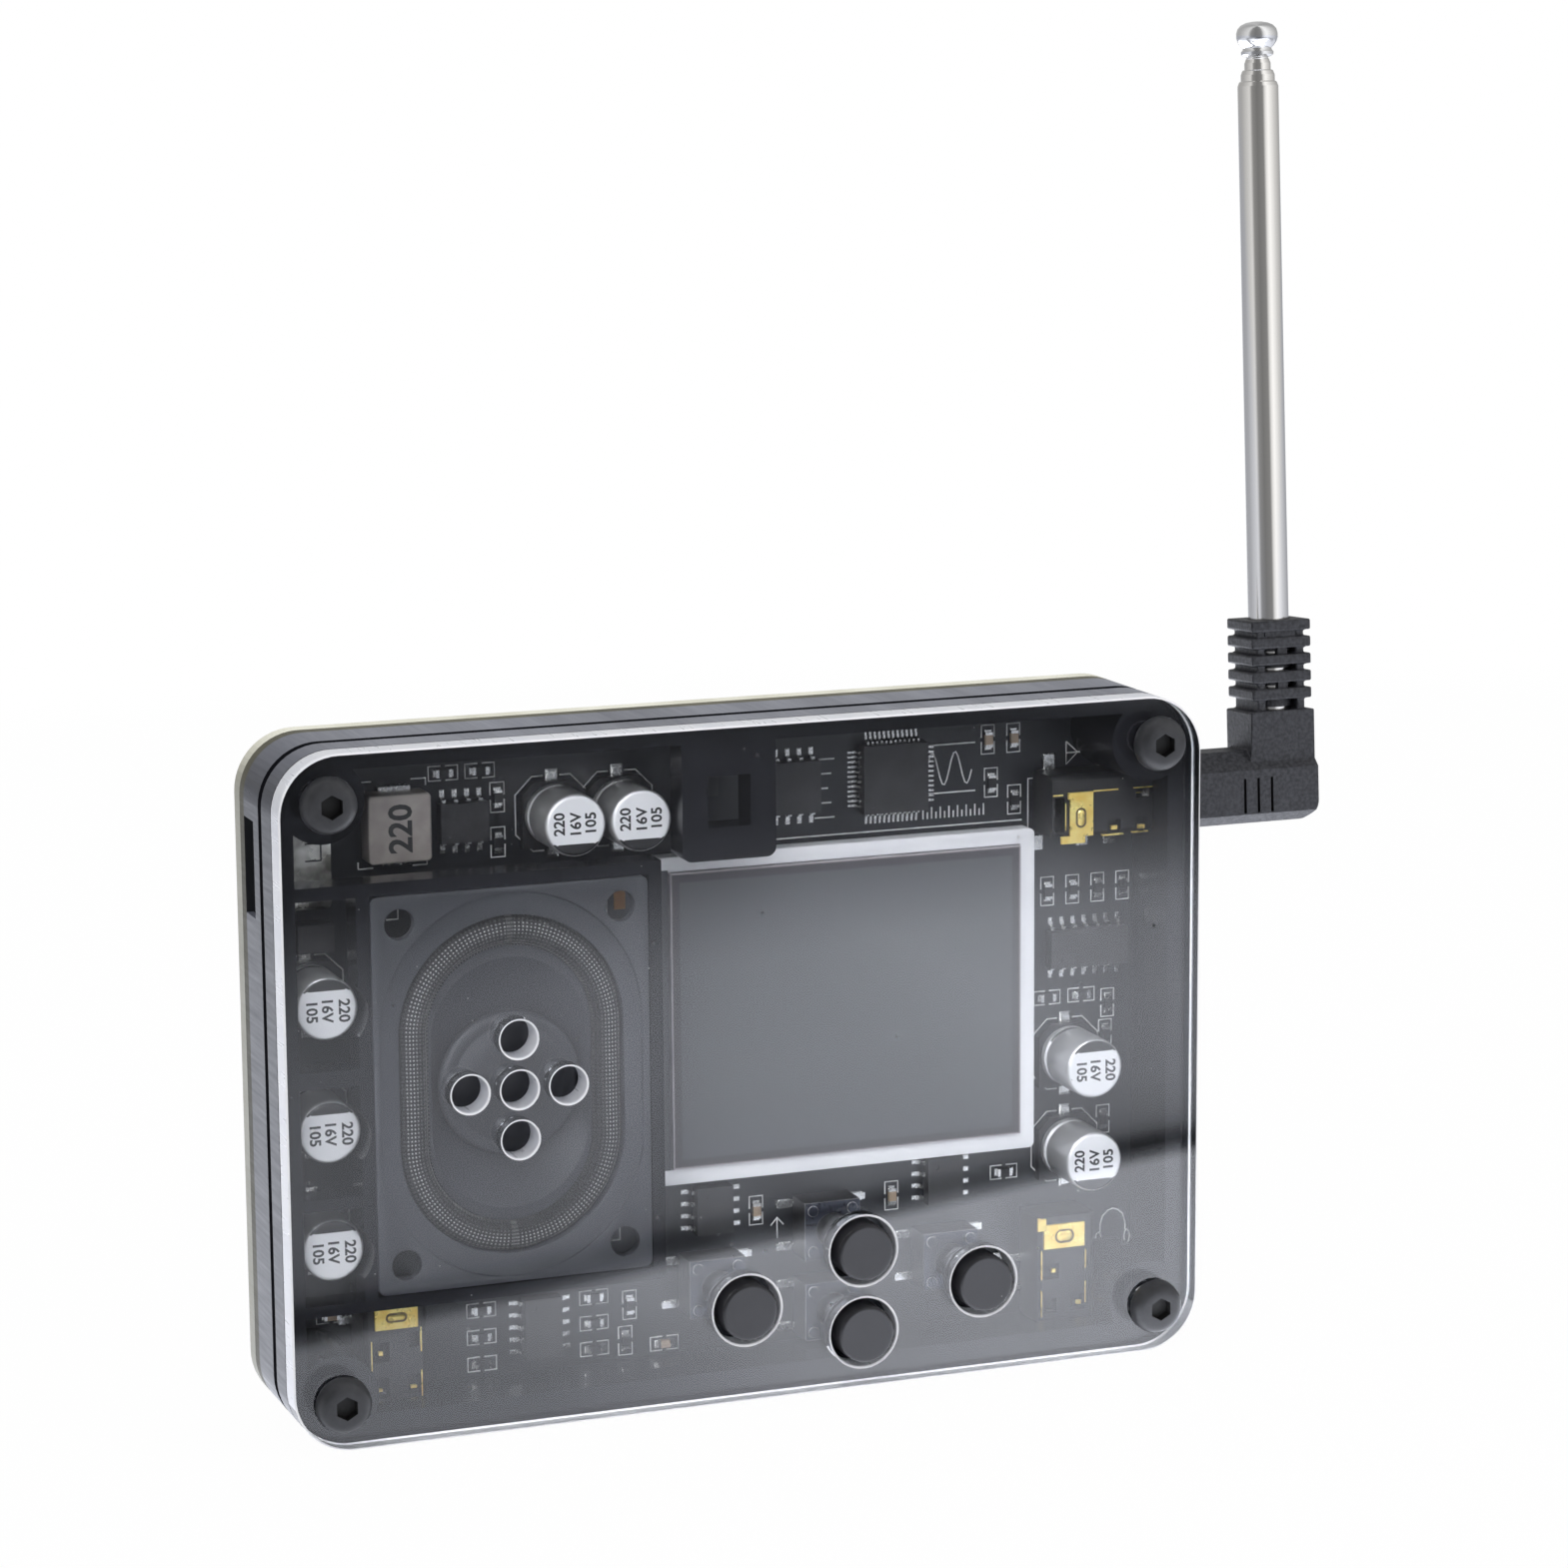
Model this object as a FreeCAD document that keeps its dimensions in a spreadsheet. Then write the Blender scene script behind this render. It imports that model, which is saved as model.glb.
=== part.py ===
"""Desk theremin: a stacked case with a clear front, a circuit board behind it with its
display, speaker, buttons and jacks, and a telescopic aerial on a right-angle plug.

Frame: +X right, +Y to the back, +Z up. The origin is the middle of the case's bottom edge.
Lengths are millimetres. A Length carries a number and the expression that ties it to the sheet.
"""
import FreeCAD, Part
import math
import os
import Sketcher

doc = FreeCAD.newDocument("Theremin")
sheet = doc.addObject("Spreadsheet::Sheet", "Sizes")
nodes = []


# ---------------------------------------------------------------- sizes and their expressions

class Length:
    """A number with the expression that works it out from the cells of the sheet."""

    def __init__(self, number, text):
        self.number = float(number)
        self.text = text

    def __add__(self, other):
        other = as_length(other)
        return Length(self.number + other.number, f"({self.text} + {other.text})")

    def __sub__(self, other):
        other = as_length(other)
        return Length(self.number - other.number, f"({self.text} - {other.text})")

    def __mul__(self, other):
        other = as_length(other)
        return Length(self.number * other.number, f"({self.text} * {other.text})")

    def __truediv__(self, other):
        other = as_length(other)
        return Length(self.number / other.number, f"({self.text} / {other.text})")

    def __neg__(self):
        return Length(-self.number, f"(0 - {self.text})")

    def __radd__(self, other):
        return as_length(other) + self

    def __rsub__(self, other):
        return as_length(other) - self

    def __rmul__(self, other):
        return as_length(other) * self


def as_length(value):
    return value if isinstance(value, Length) else Length(value, f"({float(value)!r})")


def size(alias, value):
    """Write one driving size into the sheet and give back its Length."""
    size.row += 1
    sheet.set(f"A{size.row}", alias)
    sheet.set(f"B{size.row}", str(value))
    sheet.setAlias(f"B{size.row}", alias)
    return Length(value, f"Sizes.{alias}")


size.row = 0


def bind(item, prop, length):
    item.setExpression(prop, as_length(length).text)


def put(item, x=0, y=0, z=0, turn=None):
    """Place an object; turn is (axis, angle) with the angle in degrees."""
    if turn:
        axis, angle = turn
        item.Placement = FreeCAD.Placement(FreeCAD.Vector(), FreeCAD.Rotation(axis, 0))
        for letter, part in zip("xyz", axis):
            bind(item, f"Placement.Rotation.Axis.{letter}", part)
        bind(item, "Placement.Rotation.Angle", angle)
    for letter, length in zip("xyz", (x, y, z)):
        bind(item, f"Placement.Base.{letter}", length)


X_AXIS = FreeCAD.Vector(1, 0, 0)
Y_AXIS = FreeCAD.Vector(0, 1, 0)
TO_BACK = (X_AXIS, -90)      # turns a piece's own +Z to point at the back
PAST = 1.0                   # how far a cut runs past the face that it opens
LAP = 0.1                    # how far two joined features of one piece reach into each other


# ---------------------------------------------------------------- sketch and feature helpers

def new_body(label):
    body = doc.addObject("PartDesign::Body", label)
    body.Label = label
    return body


def new_sketch(body, plane="XZ_Plane", offset=0):
    """A sketch on one of the body's own origin planes, offset along the plane's normal."""
    sketch = body.newObject("Sketcher::SketchObject", body.Label + "_sketch")
    support = [item for item in body.Origin.OriginFeatures if item.Role == plane][0]
    sketch.AttachmentSupport = (support, [""])
    sketch.MapMode = "FlatFace"
    if as_length(offset).number != 0:
        bind(sketch, "AttachmentOffset.Base.z", offset)
    return sketch


def fix(sketch, geometry, point, x, y):
    """Tie a point of a sketch to its distances from the sketch's origin."""
    x, y = as_length(x), as_length(y)
    for kind, length in (("DistanceX", x), ("DistanceY", y)):
        index = sketch.addConstraint(
            Sketcher.Constraint(kind, -1, 1, geometry, point, length.number))
        sketch.setExpression(f"Constraints[{index}]", length.text)


def draw_circle(sketch, x, y, radius):
    x, y, radius = as_length(x), as_length(y), as_length(radius)
    centre = FreeCAD.Vector(x.number, y.number, 0)
    index = sketch.addGeometry(Part.Circle(centre, FreeCAD.Vector(0, 0, 1), radius.number))
    fix(sketch, index, 3, x, y)
    limit = sketch.addConstraint(Sketcher.Constraint("Radius", index, radius.number))
    sketch.setExpression(f"Constraints[{limit}]", radius.text)


def draw_polygon(sketch, points):
    """A closed outline of straight lines through the points."""
    points = [(as_length(x), as_length(y)) for x, y in points]
    corners = [FreeCAD.Vector(x.number, y.number, 0) for x, y in points]
    first = len(sketch.Geometry)
    for index, corner in enumerate(corners):
        following = corners[(index + 1) % len(corners)]
        sketch.addGeometry(Part.LineSegment(corner, following))
    for index, (x, y) in enumerate(points):
        before = first + (index - 1) % len(points)
        sketch.addConstraint(Sketcher.Constraint("Coincident", before, 2, first + index, 1))
        fix(sketch, first + index, 1, x, y)


def draw_rectangle(sketch, left, right, low, high):
    draw_polygon(sketch, [(left, low), (right, low), (right, high), (left, high)])


def draw_hexagon(sketch, across_flats):
    """A hexagon round the origin, with a flat at each side."""
    half = across_flats / 2
    point = across_flats / math.sqrt(3)
    draw_polygon(sketch, [(half, -point / 2), (half, point / 2), (0, point),
                          (-half, point / 2), (-half, -point / 2), (0, -point)])


def draw_corner_loop(sketch, left, right, low, high, centres, radius, bulge):
    """Four straight sides joined by four arcs round the given centres.

    bulge is 1 where the arcs round the corners off, and -1 where they curl round a boss.
    """
    lw, rt, lo, hi = [as_length(value) for value in (left, right, low, high)]
    reach = as_length(radius)
    around = []
    for (cx, cz), (ex, ez) in zip(centres, ((lw, lo), (rt, lo), (rt, hi), (lw, hi))):
        if bulge > 0:
            along_x, along_z = cx.number, cz.number
        else:
            dz = abs(cz.number - ez.number)
            dx = abs(cx.number - ex.number)
            side = 1 if ex.number < 0 else -1
            rise = 1 if ez.number < (lo.number + hi.number) / 2 else -1
            along_x = cx.number + side * math.sqrt(reach.number ** 2 - dz ** 2)
            along_z = cz.number + rise * math.sqrt(reach.number ** 2 - dx ** 2)
        around.append((FreeCAD.Vector(along_x, ez.number, 0),
                       FreeCAD.Vector(ex.number, along_z, 0)))
    first = len(sketch.Geometry)
    runs = [(around[0][0], around[1][0]), (around[1][1], around[2][1]),
            (around[2][0], around[3][0]), (around[3][1], around[0][1])]
    for start, end in runs:
        sketch.addGeometry(Part.LineSegment(start, end))
    for index, (cx, cz) in enumerate(centres):
        centre = FreeCAD.Vector(cx.number, cz.number, 0)
        ends = around[index] if index % 2 == 0 else around[index][::-1]
        angles = [math.atan2(end.y - centre.y, end.x - centre.x) for end in ends]
        if bulge > 0:
            angles = angles[::-1]
        if angles[1] < angles[0]:
            angles[1] += 2 * math.pi
        circle = Part.Circle(centre, FreeCAD.Vector(0, 0, 1), reach.number)
        sketch.addGeometry(Part.ArcOfCircle(circle, angles[0], angles[1]))
    for index in range(4):
        sketch.addConstraint(
            Sketcher.Constraint("Horizontal" if index % 2 == 0 else "Vertical", first + index))
    joint = "Tangent" if bulge > 0 else "Coincident"
    for index in range(4):
        arc = first + 4 + index
        arriving, leaving = first + (index - 1) % 4, first + index
        near, far = (1, 2) if bulge > 0 else (2, 1)
        sketch.addConstraint(Sketcher.Constraint(joint, arriving, 2, arc, near))
        sketch.addConstraint(Sketcher.Constraint(joint, leaving, 1, arc, far))
        limit = sketch.addConstraint(Sketcher.Constraint("Radius", arc, reach.number))
        sketch.setExpression(f"Constraints[{limit}]", reach.text)
        if bulge < 0:
            fix(sketch, arc, 3, *centres[index])
    for index, kind, length in ((0, "DistanceY", lo), (1, "DistanceX", rt),
                                (2, "DistanceY", hi), (3, "DistanceX", lw)):
        limit = sketch.addConstraint(
            Sketcher.Constraint(kind, -1, 1, first + index, 1, length.number))
        sketch.setExpression(f"Constraints[{limit}]", length.text)


def draw_rounded(sketch, left, right, low, high, radius):
    """A rectangle with its four corners rounded off."""
    centres = [(left + radius, low + radius), (right - radius, low + radius),
               (right - radius, high - radius), (left + radius, high - radius)]
    draw_corner_loop(sketch, left, right, low, high, centres, radius, 1)


def draw_oval(sketch, width, height):
    """An upright racetrack oval round the origin: two half circles and two straight sides."""
    width, height = as_length(width), as_length(height)
    half = width / 2
    rise = (height - width) / 2
    first = len(sketch.Geometry)
    up = FreeCAD.Vector(0, rise.number, 0)
    right = FreeCAD.Vector(half.number, 0, 0)
    normal = FreeCAD.Vector(0, 0, 1)
    sketch.addGeometry(Part.LineSegment(right - up, right + up))
    sketch.addGeometry(Part.ArcOfCircle(Part.Circle(up, normal, half.number), 0, math.pi))
    sketch.addGeometry(Part.LineSegment(up - right, FreeCAD.Vector() - up - right))
    sketch.addGeometry(
        Part.ArcOfCircle(Part.Circle(FreeCAD.Vector() - up, normal, half.number),
                         math.pi, 2 * math.pi))
    for index in range(4):
        sketch.addConstraint(
            Sketcher.Constraint("Tangent", first + index, 2, first + (index + 1) % 4, 1))
    for arc, level in ((first + 1, rise), (first + 3, -rise)):
        limit = sketch.addConstraint(Sketcher.Constraint("Radius", arc, half.number))
        sketch.setExpression(f"Constraints[{limit}]", half.text)
        fix(sketch, arc, 3, 0, level)


def pad(body, sketch, length, backwards=True):
    """Extrude a sketch; backwards means against the sketch's normal (towards +Y on XZ)."""
    feature = body.newObject("PartDesign::Pad", body.Label + "_pad")
    feature.Profile = sketch
    feature.Reversed = backwards
    bind(feature, "Length", length)
    return feature


def pocket(body, sketch, depth=None, backwards=True):
    """Cut a sketch out; backwards means against the sketch's normal. No depth goes through."""
    doc.recompute()
    before = body.Shape.Volume
    feature = body.newObject("PartDesign::Pocket", body.Label + "_pocket")
    feature.Profile = sketch
    feature.Reversed = not backwards
    if depth is None:
        feature.Type = "ThroughAll"
    else:
        bind(feature, "Length", depth)
    doc.recompute()
    if body.Shape.Volume >= before:
        raise RuntimeError(feature.Label + " cut nothing")
    return feature


def revolve(body, sketch):
    """Turn a profile round the sketch's vertical axis, which is the body's own Z."""
    feature = body.newObject("PartDesign::Revolution", body.Label + "_revolution")
    feature.Profile = sketch
    feature.ReferenceAxis = (sketch, ["V_Axis"])
    feature.Angle = 360
    return feature


def turned(label, profile):
    """A turned piece from its half profile of (radius, height) points."""
    body = new_body(label)
    sketch = new_sketch(body)
    draw_polygon(sketch, profile)
    revolve(body, sketch)
    return body


def edges_where(shape, test):
    return [f"Edge{index + 1}" for index, edge in enumerate(shape.Edges) if test(edge)]


def soften(body, kind, amount, test):
    """Fillet or chamfer those edges of the body's tip that pass the test."""
    doc.recompute()
    tip = body.Tip
    feature = body.newObject("PartDesign::" + kind, body.Label + "_" + kind.lower())
    feature.Base = (tip, edges_where(tip.Shape, test))
    bind(feature, "Radius" if kind == "Fillet" else "Size", amount)
    return feature


def keep(item, label=None):
    """List an object as one of the theremin's own pieces."""
    if label:
        item.Label = label
    nodes.append(item)
    return item


def box(label, x_span, y_span, z_span):
    """A Part::Box between two bounds on each axis."""
    item = doc.addObject("Part::Box", label)
    item.Label = label
    for prop, span in (("Length", x_span), ("Width", y_span), ("Height", z_span)):
        bind(item, prop, span[1] - as_length(span[0]))
    put(item, x_span[0], y_span[0], z_span[0])
    return item


def fuse(label, items):
    item = doc.addObject("Part::MultiFuse", label)
    item.Label = label
    item.Shapes = items
    return item


def cut(label, base, tool):
    item = doc.addObject("Part::Cut", label)
    item.Label = label
    item.Base = base
    item.Tool = tool
    return item


def cylinder(label, radius, height, x=0, y=0, z=0, turn=None):
    item = doc.addObject("Part::Cylinder", label)
    item.Label = label
    bind(item, "Radius", radius)
    bind(item, "Height", height)
    put(item, x, y, z, turn)
    return item


def copies(label, pattern, places):
    """Separate solids, each a copy of the pattern's shape at (x, y, z, rotation)."""
    doc.recompute()
    shape = pattern.Shape.copy()
    shape.Placement = FreeCAD.Placement()
    solids = []
    for x, y, z, rotation in places:
        spot = FreeCAD.Vector(as_length(x).number, as_length(y).number, as_length(z).number)
        solid = shape.copy()
        solid.Placement = FreeCAD.Placement(spot, rotation)
        solids.append(solid)
    item = doc.addObject("Part::Feature", label)
    item.Shape = Part.makeCompound(solids)
    item.Label = label
    return item


FACING = FreeCAD.Rotation()
POINTING_BACK = FreeCAD.Rotation(X_AXIS, -90)


def turned_by(degrees):
    """A rotation in the plane of the board, anticlockwise seen from the front."""
    return FreeCAD.Rotation(Y_AXIS, -degrees)


# ---------------------------------------------------------------- driving sizes: the layout
# Across, the case is as wide as its left column, the speaker, the display and its right
# column. Upwards, it is as high as the buttons, the display and the upper row of parts.

left_column = size("left_column", 9.25)
flange_width = size("flange_width", 28.1)
flange_height = size("flange_height", 39.5)
flange_lap = size("flange_lap", 1.75)
glass_width = size("glass_width", 38.1)
glass_height = size("glass_height", 30.4)
border_left = size("border_left", 6.6)
border_right = size("border_right", 1.7)
border_low = size("border_low", 1.7)
border_top = size("border_top", 1.6)
right_column = size("right_column", 14.2)

switch_width = size("switch_width", 6.0)
down_button_z = size("down_button_z", 5.65)
pair_pitch = size("pair_pitch", 8.5)
display_gap = size("display_gap", 3.15)
upper_band = size("upper_band", 14.5)

tray_width = border_left + glass_width + border_right
tray_height = border_low + glass_height + border_top
case_width = left_column + flange_width - flange_lap + tray_width + right_column
half_width = case_width / 2
speaker_x = left_column + flange_width / 2 - half_width
tray_right = half_width - right_column
tray_left = tray_right - tray_width
tray_x = tray_left + tray_width / 2
glass_x = tray_left + border_left + glass_width / 2

up_button_z = down_button_z + pair_pitch
tray_low = up_button_z + switch_width / 2 + display_gap
tray_top = tray_low + tray_height
tray_z = tray_low + tray_height / 2
glass_z = tray_low + border_low + glass_height / 2
case_height = tray_top + upper_band
speaker_z = case_height / 2

# ---------------------------------------------------------------- driving sizes: the case

corner_radius = size("corner_radius", 6.0)
front_plate_thick = size("front_plate_thick", 3.0)
front_frame_thick = size("front_frame_thick", 3.5)
middle_sheet_thick = size("middle_sheet_thick", 1.2)
rear_frame_thick = size("rear_frame_thick", 5.5)
board_thick = size("board_thick", 1.6)
back_plate_thick = size("back_plate_thick", 2.0)
sheet_inset = size("sheet_inset", 0.4)
narrow_wall = size("narrow_wall", 1.9)
wide_wall = size("wide_wall", 2.8)
boss_radius = size("boss_radius", 4.2)

screw_inset = size("screw_inset", 4.8)
screw_radius = size("screw_radius", 1.5)
screw_clearance = size("screw_clearance", 0.1)
head_radius = size("head_radius", 2.8)
head_height = size("head_height", 1.7)
crown_radius = size("head_crown_radius", 1.74)
shoulder_radius = size("head_shoulder_radius", 2.52)
socket_across = size("socket_across", 2.0)
socket_depth = size("socket_depth", 1.0)
screw_end = size("screw_end", 0.5)
nut_across = size("nut_across", 5.5)
nut_height = size("nut_height", 2.4)
thread_clearance = size("thread_clearance", 0.05)

case_depth = (front_plate_thick + front_frame_thick + middle_sheet_thick
              + rear_frame_thick + board_thick + back_plate_thick)
plate_front = -case_depth / 2
plate_back = plate_front + front_plate_thick
sheet_front = plate_back + front_frame_thick
rear_front = sheet_front + middle_sheet_thick
board_front = rear_front + rear_frame_thick
board_back = board_front + board_thick
case_back = board_back + back_plate_thick

screw_x = half_width - screw_inset
screw_low = screw_inset
screw_high = case_height - screw_inset
screw_spots = [(-screw_x, screw_low), (screw_x, screw_low),
               (screw_x, screw_high), (-screw_x, screw_high)]

# ---------------------------------------------------------------- driving sizes: the speaker

flange_thick = size("flange_thick", 1.2)
flange_corner = size("flange_corner", 0.8)
speaker_clearance = size("speaker_clearance", 0.1)
speaker_wall = size("speaker_wall", 1.3)
flange_hole_radius = size("flange_hole_radius", 1.5)
flange_hole_inset = size("flange_hole_inset", 2.85)
rim_width = size("rim_width", 26.6)
rim_height = size("rim_height", 38.4)
rim_depth = size("rim_depth", 0.3)
roll_width = size("roll_width", 22.9)
roll_height = size("roll_height", 33.8)
roll_band = size("roll_band", 3.1)
roll_thick = size("roll_thick", 1.6)
roll_clearance = size("roll_clearance", 0.1)
roll_crown = size("roll_crown", 1.43)
roll_setback = size("roll_setback", 0.35)
basket_wall = size("basket_wall", 1.0)
basket_ledge = size("basket_ledge", 0.7)
basket_depth = size("basket_depth", 3.7)
basket_floor = size("basket_floor", 0.7)
basket_taper = size("basket_taper", 3.2)
cone_depth = size("cone_depth", 1.9)
cone_skin = size("cone_skin", 0.35)
cone_neck_stretch = size("cone_neck_stretch", 1.07)
coil_radius = size("coil_radius", 6.4)
coil_skin = size("coil_skin", 0.3)
coil_length = size("coil_length", 3.2)
cap_radius = size("dust_cap_radius", 7.25)
cap_rise = size("dust_cap_rise", 1.5)
cap_skin = size("dust_cap_skin", 0.4)
cap_setback = size("dust_cap_setback", 0.66)
yoke_radius = size("yoke_radius", 8.6)
yoke_wall = size("yoke_wall", 1.2)
magnet_gap = size("magnet_gap", 0.45)
pole_thick = size("pole_thick", 1.0)
pole_setback = size("pole_setback", 0.2)
pole_overhang = size("pole_overhang", 0.3)
yoke_board_gap = size("yoke_board_gap", 0.3)

block_right = speaker_x + flange_width / 2 + speaker_clearance + speaker_wall
block_left = speaker_x - flange_width / 2 - speaker_clearance - speaker_wall
block_top = speaker_z + flange_height / 2 + speaker_clearance + speaker_wall
block_low = speaker_z - flange_height / 2 - speaker_clearance - speaker_wall

# ---------------------------------------------------------------- driving sizes: front plate

sound_hole_radius = size("sound_hole_radius", 1.85)
sound_hole_pitch = size("sound_hole_pitch", 5.0)
button_hole_radius = size("button_hole_radius", 3.53)
button_relief = size("button_relief", 0.2)
pair_offset = size("pair_offset", 0.3)
back_reach = size("back_reach", 12.5)
back_rise = size("back_rise", 3.75)
enter_reach = size("enter_reach", 13.1)
enter_rise = size("enter_rise", 3.85)
pair_button_x = tray_x + pair_offset
button_spots = {
    "back": (pair_button_x - back_reach, down_button_z + back_rise),
    "up": (pair_button_x, up_button_z),
    "down": (pair_button_x, down_button_z),
    "enter": (pair_button_x + enter_reach, down_button_z + enter_rise),
}

# ---------------------------------------------------------------- driving sizes: the sensor tab

tab_offset = size("tab_offset", 10.3)
tab_width = size("tab_width", 9.8)
tab_gap = size("tab_gap", 0.9)
tab_radius = size("tab_radius", 1.0)
tab_window_width = size("tab_window_width", 4.5)
tab_window_height = size("tab_window_height", 5.1)
tab_window_rise = size("tab_window_rise", 6.75)
tab_x = tray_left + tab_offset
tab_low = tray_top + tab_gap
tab_window_z = tray_top + tab_window_rise

# ---------------------------------------------------------------- driving sizes: capacitors

can_radius = size("can_radius", 3.15)
can_height = size("can_height", 7.7)
can_base = size("can_base", 6.6)
can_base_height = size("can_base_height", 1.0)
can_base_chamfer = size("can_base_chamfer", 1.2)
can_waist = size("can_waist", 0.25)
can_edge = size("can_edge", 0.3)
crimp_rise = size("crimp_rise", 1.0)
can_relief = size("can_relief", 0.25)
column_inset = size("can_column_inset", 5.45)
middle_drop = size("can_middle_drop", 3.55)
upper_pitch = size("can_upper_pitch", 12.2)
lower_pitch = size("can_lower_pitch", 11.8)
top_can_offset = size("top_can_offset", 4.7)
top_can_rise = size("top_can_rise", 4.95)
top_can_pitch = size("top_can_pitch", 6.8)
right_can_offset = size("right_can_offset", 4.6)
right_can_rise = size("right_can_rise", 9.05)
right_can_pitch = size("right_can_pitch", 9.9)
can_column_x = column_inset - half_width
can_middle_z = speaker_z - middle_drop
can_upper_z = can_middle_z + upper_pitch
can_lower_z = can_middle_z - lower_pitch
can_top_x = tray_left - top_can_offset
can_top_z = tray_top + top_can_rise
can_right_x = tray_right + right_can_offset
can_right_z = tray_low + right_can_rise
can_spots = [
    (can_column_x, can_upper_z), (can_column_x, can_middle_z), (can_column_x, can_lower_z),
    (can_top_x, can_top_z), (can_top_x + top_can_pitch, can_top_z),
    (can_right_x, can_right_z), (can_right_x, can_right_z - right_can_pitch),
]
upper_window_drop = size("upper_window_drop", 5.5)
middle_window_rise = size("middle_window_rise", 5.0)
middle_window_drop = size("middle_window_drop", 5.9)
lower_window_rise = size("lower_window_rise", 4.7)
lower_window_sill = size("lower_window_sill", 1.1)
left_windows = [
    (can_upper_z - upper_window_drop, block_top - speaker_wall),
    (can_middle_z - middle_window_drop, can_middle_z + middle_window_rise),
    (block_low + lower_window_sill, can_lower_z + lower_window_rise),
]

# ---------------------------------------------------------------- driving sizes: the jacks

jack_width = size("jack_width", 6.4)
jack_height = size("jack_height", 5.0)
jack_length = size("jack_length", 13.3)
jack_bore_radius = size("jack_bore_radius", 1.8)
jack_end_wall = size("jack_end_wall", 0.9)
nose_radius = size("nose_radius", 2.4)
nose_clearance = size("nose_clearance", 0.2)
contact_thick = size("contact_thick", 0.25)
headphone_inset = size("headphone_inset", 11.5)
line_jack_inset = size("line_jack_inset", 12.3)
antenna_jack_rise = size("antenna_jack_rise", 2.4)
headphone_x = half_width - headphone_inset
line_jack_x = line_jack_inset - half_width
antenna_jack_z = tray_top + antenna_jack_rise
jack_axis_y = board_front - jack_height / 2

usb_rise = size("usb_rise", 2.0)
usb_z = tray_top + usb_rise
usb_width = size("usb_width", 8.94)
usb_height = size("usb_height", 3.2)
usb_length = size("usb_length", 7.35)
usb_skin = size("usb_skin", 0.3)
usb_side_flat = size("usb_side_flat", 0.3)
usb_setback = size("usb_setback", 0.1)
usb_clearance = size("usb_clearance", 0.3)

# ---------------------------------------------------------------- driving sizes: the display

tray_thick = size("tray_thick", 2.1)
tray_radius = size("tray_radius", 0.6)
glass_thick = size("glass_thick", 0.9)
glass_proud = size("glass_proud", 0.4)
glass_clearance = size("glass_clearance", 0.1)
pad_thick = size("pad_thick", 0.5)
driver_width = size("driver_width", 0.9)
driver_height = size("driver_height", 11.0)
driver_thick = size("driver_thick", 0.3)
ledge_depth = size("ledge_depth", 0.3)
ledge_width = size("ledge_width", 4.0)
pad_inset = size("pad_inset", 1.5)

# ---------------------------------------------------------------- driving sizes: the buttons

switch_base_height = size("switch_base_height", 3.3)
switch_cover_thick = size("switch_cover_thick", 0.3)
switch_well_depth = size("switch_well_depth", 1.5)
plunger_radius = size("plunger_radius", 1.7)
plunger_clearance = size("plunger_clearance", 0.05)
plunger_engaged = size("plunger_engaged", 1.0)
rivet_radius = size("rivet_radius", 0.55)
rivet_height = size("rivet_height", 0.15)
rivet_inset = size("rivet_inset", 0.85)
leg_width = size("leg_width", 0.7)
leg_reach = size("leg_reach", 1.9)
leg_thick = size("leg_thick", 0.3)
leg_spacing = size("leg_spacing", 4.5)
cap_button_radius = size("button_radius", 2.92)
cap_proud = size("button_proud", 0.9)
cap_button_length = size("button_length", 5.8)
cap_edge = size("button_edge", 0.2)

# ---------------------------------------------------------------- driving sizes: jacks and sockets

jack_chamfer = size("jack_chamfer", 0.5)
strip_width = size("strip_width", 2.7)
strip_from_end = size("strip_from_end", 1.5)
strip_reach = size("strip_reach", 1.5)
near_foot = size("near_foot", 2.5)
far_foot = size("far_foot", 10.4)
near_left_foot = size("near_left_foot", 5.3)
far_left_foot = size("far_left_foot", 12.1)
foot_length = size("foot_length", 1.6)
foot_width = size("foot_width", 1.0)
pin_gap = size("pin_gap", 0.05)
tongue_width = size("tongue_width", 6.7)
tongue_thick = size("tongue_thick", 0.7)
tongue_setback = size("tongue_setback", 1.2)

# ---------------------------------------------------------------- driving sizes: parts on the board

tab_length = size("tab_length", 0.8)
tab_span = size("tab_span", 0.9)
inductor_reach = size("inductor_reach", 8.8)
inductor_rise = size("inductor_rise", 5.05)
inductor_x = speaker_x - inductor_reach
inductor_z = tray_top + inductor_rise
inductor_width = size("inductor_width", 6.4)
inductor_height = size("inductor_height", 6.8)
inductor_thick = size("inductor_thick", 3.0)
inductor_radius = size("inductor_radius", 0.5)
end_span = size("end_span", 3.2)
end_rise = size("end_rise", 1.2)
end_thick = size("end_thick", 0.5)
lead_width = size("lead_width", 0.42)
fine_lead_width = size("fine_lead_width", 0.22)
lead_thick = size("lead_thick", 0.18)
chip_pitch = size("chip_pitch", 1.27)
fine_pitch = size("fine_pitch", 0.5)
chip_standoff = size("chip_standoff", 0.1)
chip_thick = size("chip_thick", 1.5)
shoulder = size("lead_shoulder", 0.3)
foot = size("lead_foot", 0.55)
lead_rise = size("lead_rise", 0.75)
dimple_radius = size("dimple_radius", 0.3)
dimple_depth = size("dimple_depth", 0.1)
soic_long = size("soic_long", 4.9)
soic_wide = size("soic_wide", 3.9)
memory_wide = size("memory_wide", 5.3)
mixer_long = size("mixer_long", 8.65)
amplifier_long = size("amplifier_long", 6.2)
processor_side = size("processor_side", 7.0)
regulator_across = size("regulator_across", 1.8)
regulator_up = size("regulator_up", 4.85)
memory_across = size("memory_across", 20.9)
memory_up = size("memory_up", 5.8)
processor_across = size("processor_across", 8.35)
processor_up = size("processor_up", 6.05)
mixer_across = size("mixer_across", 0.6)
mixer_up = size("mixer_up", 3.55)
amplifier_across = size("amplifier_across", 5.4)
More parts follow.
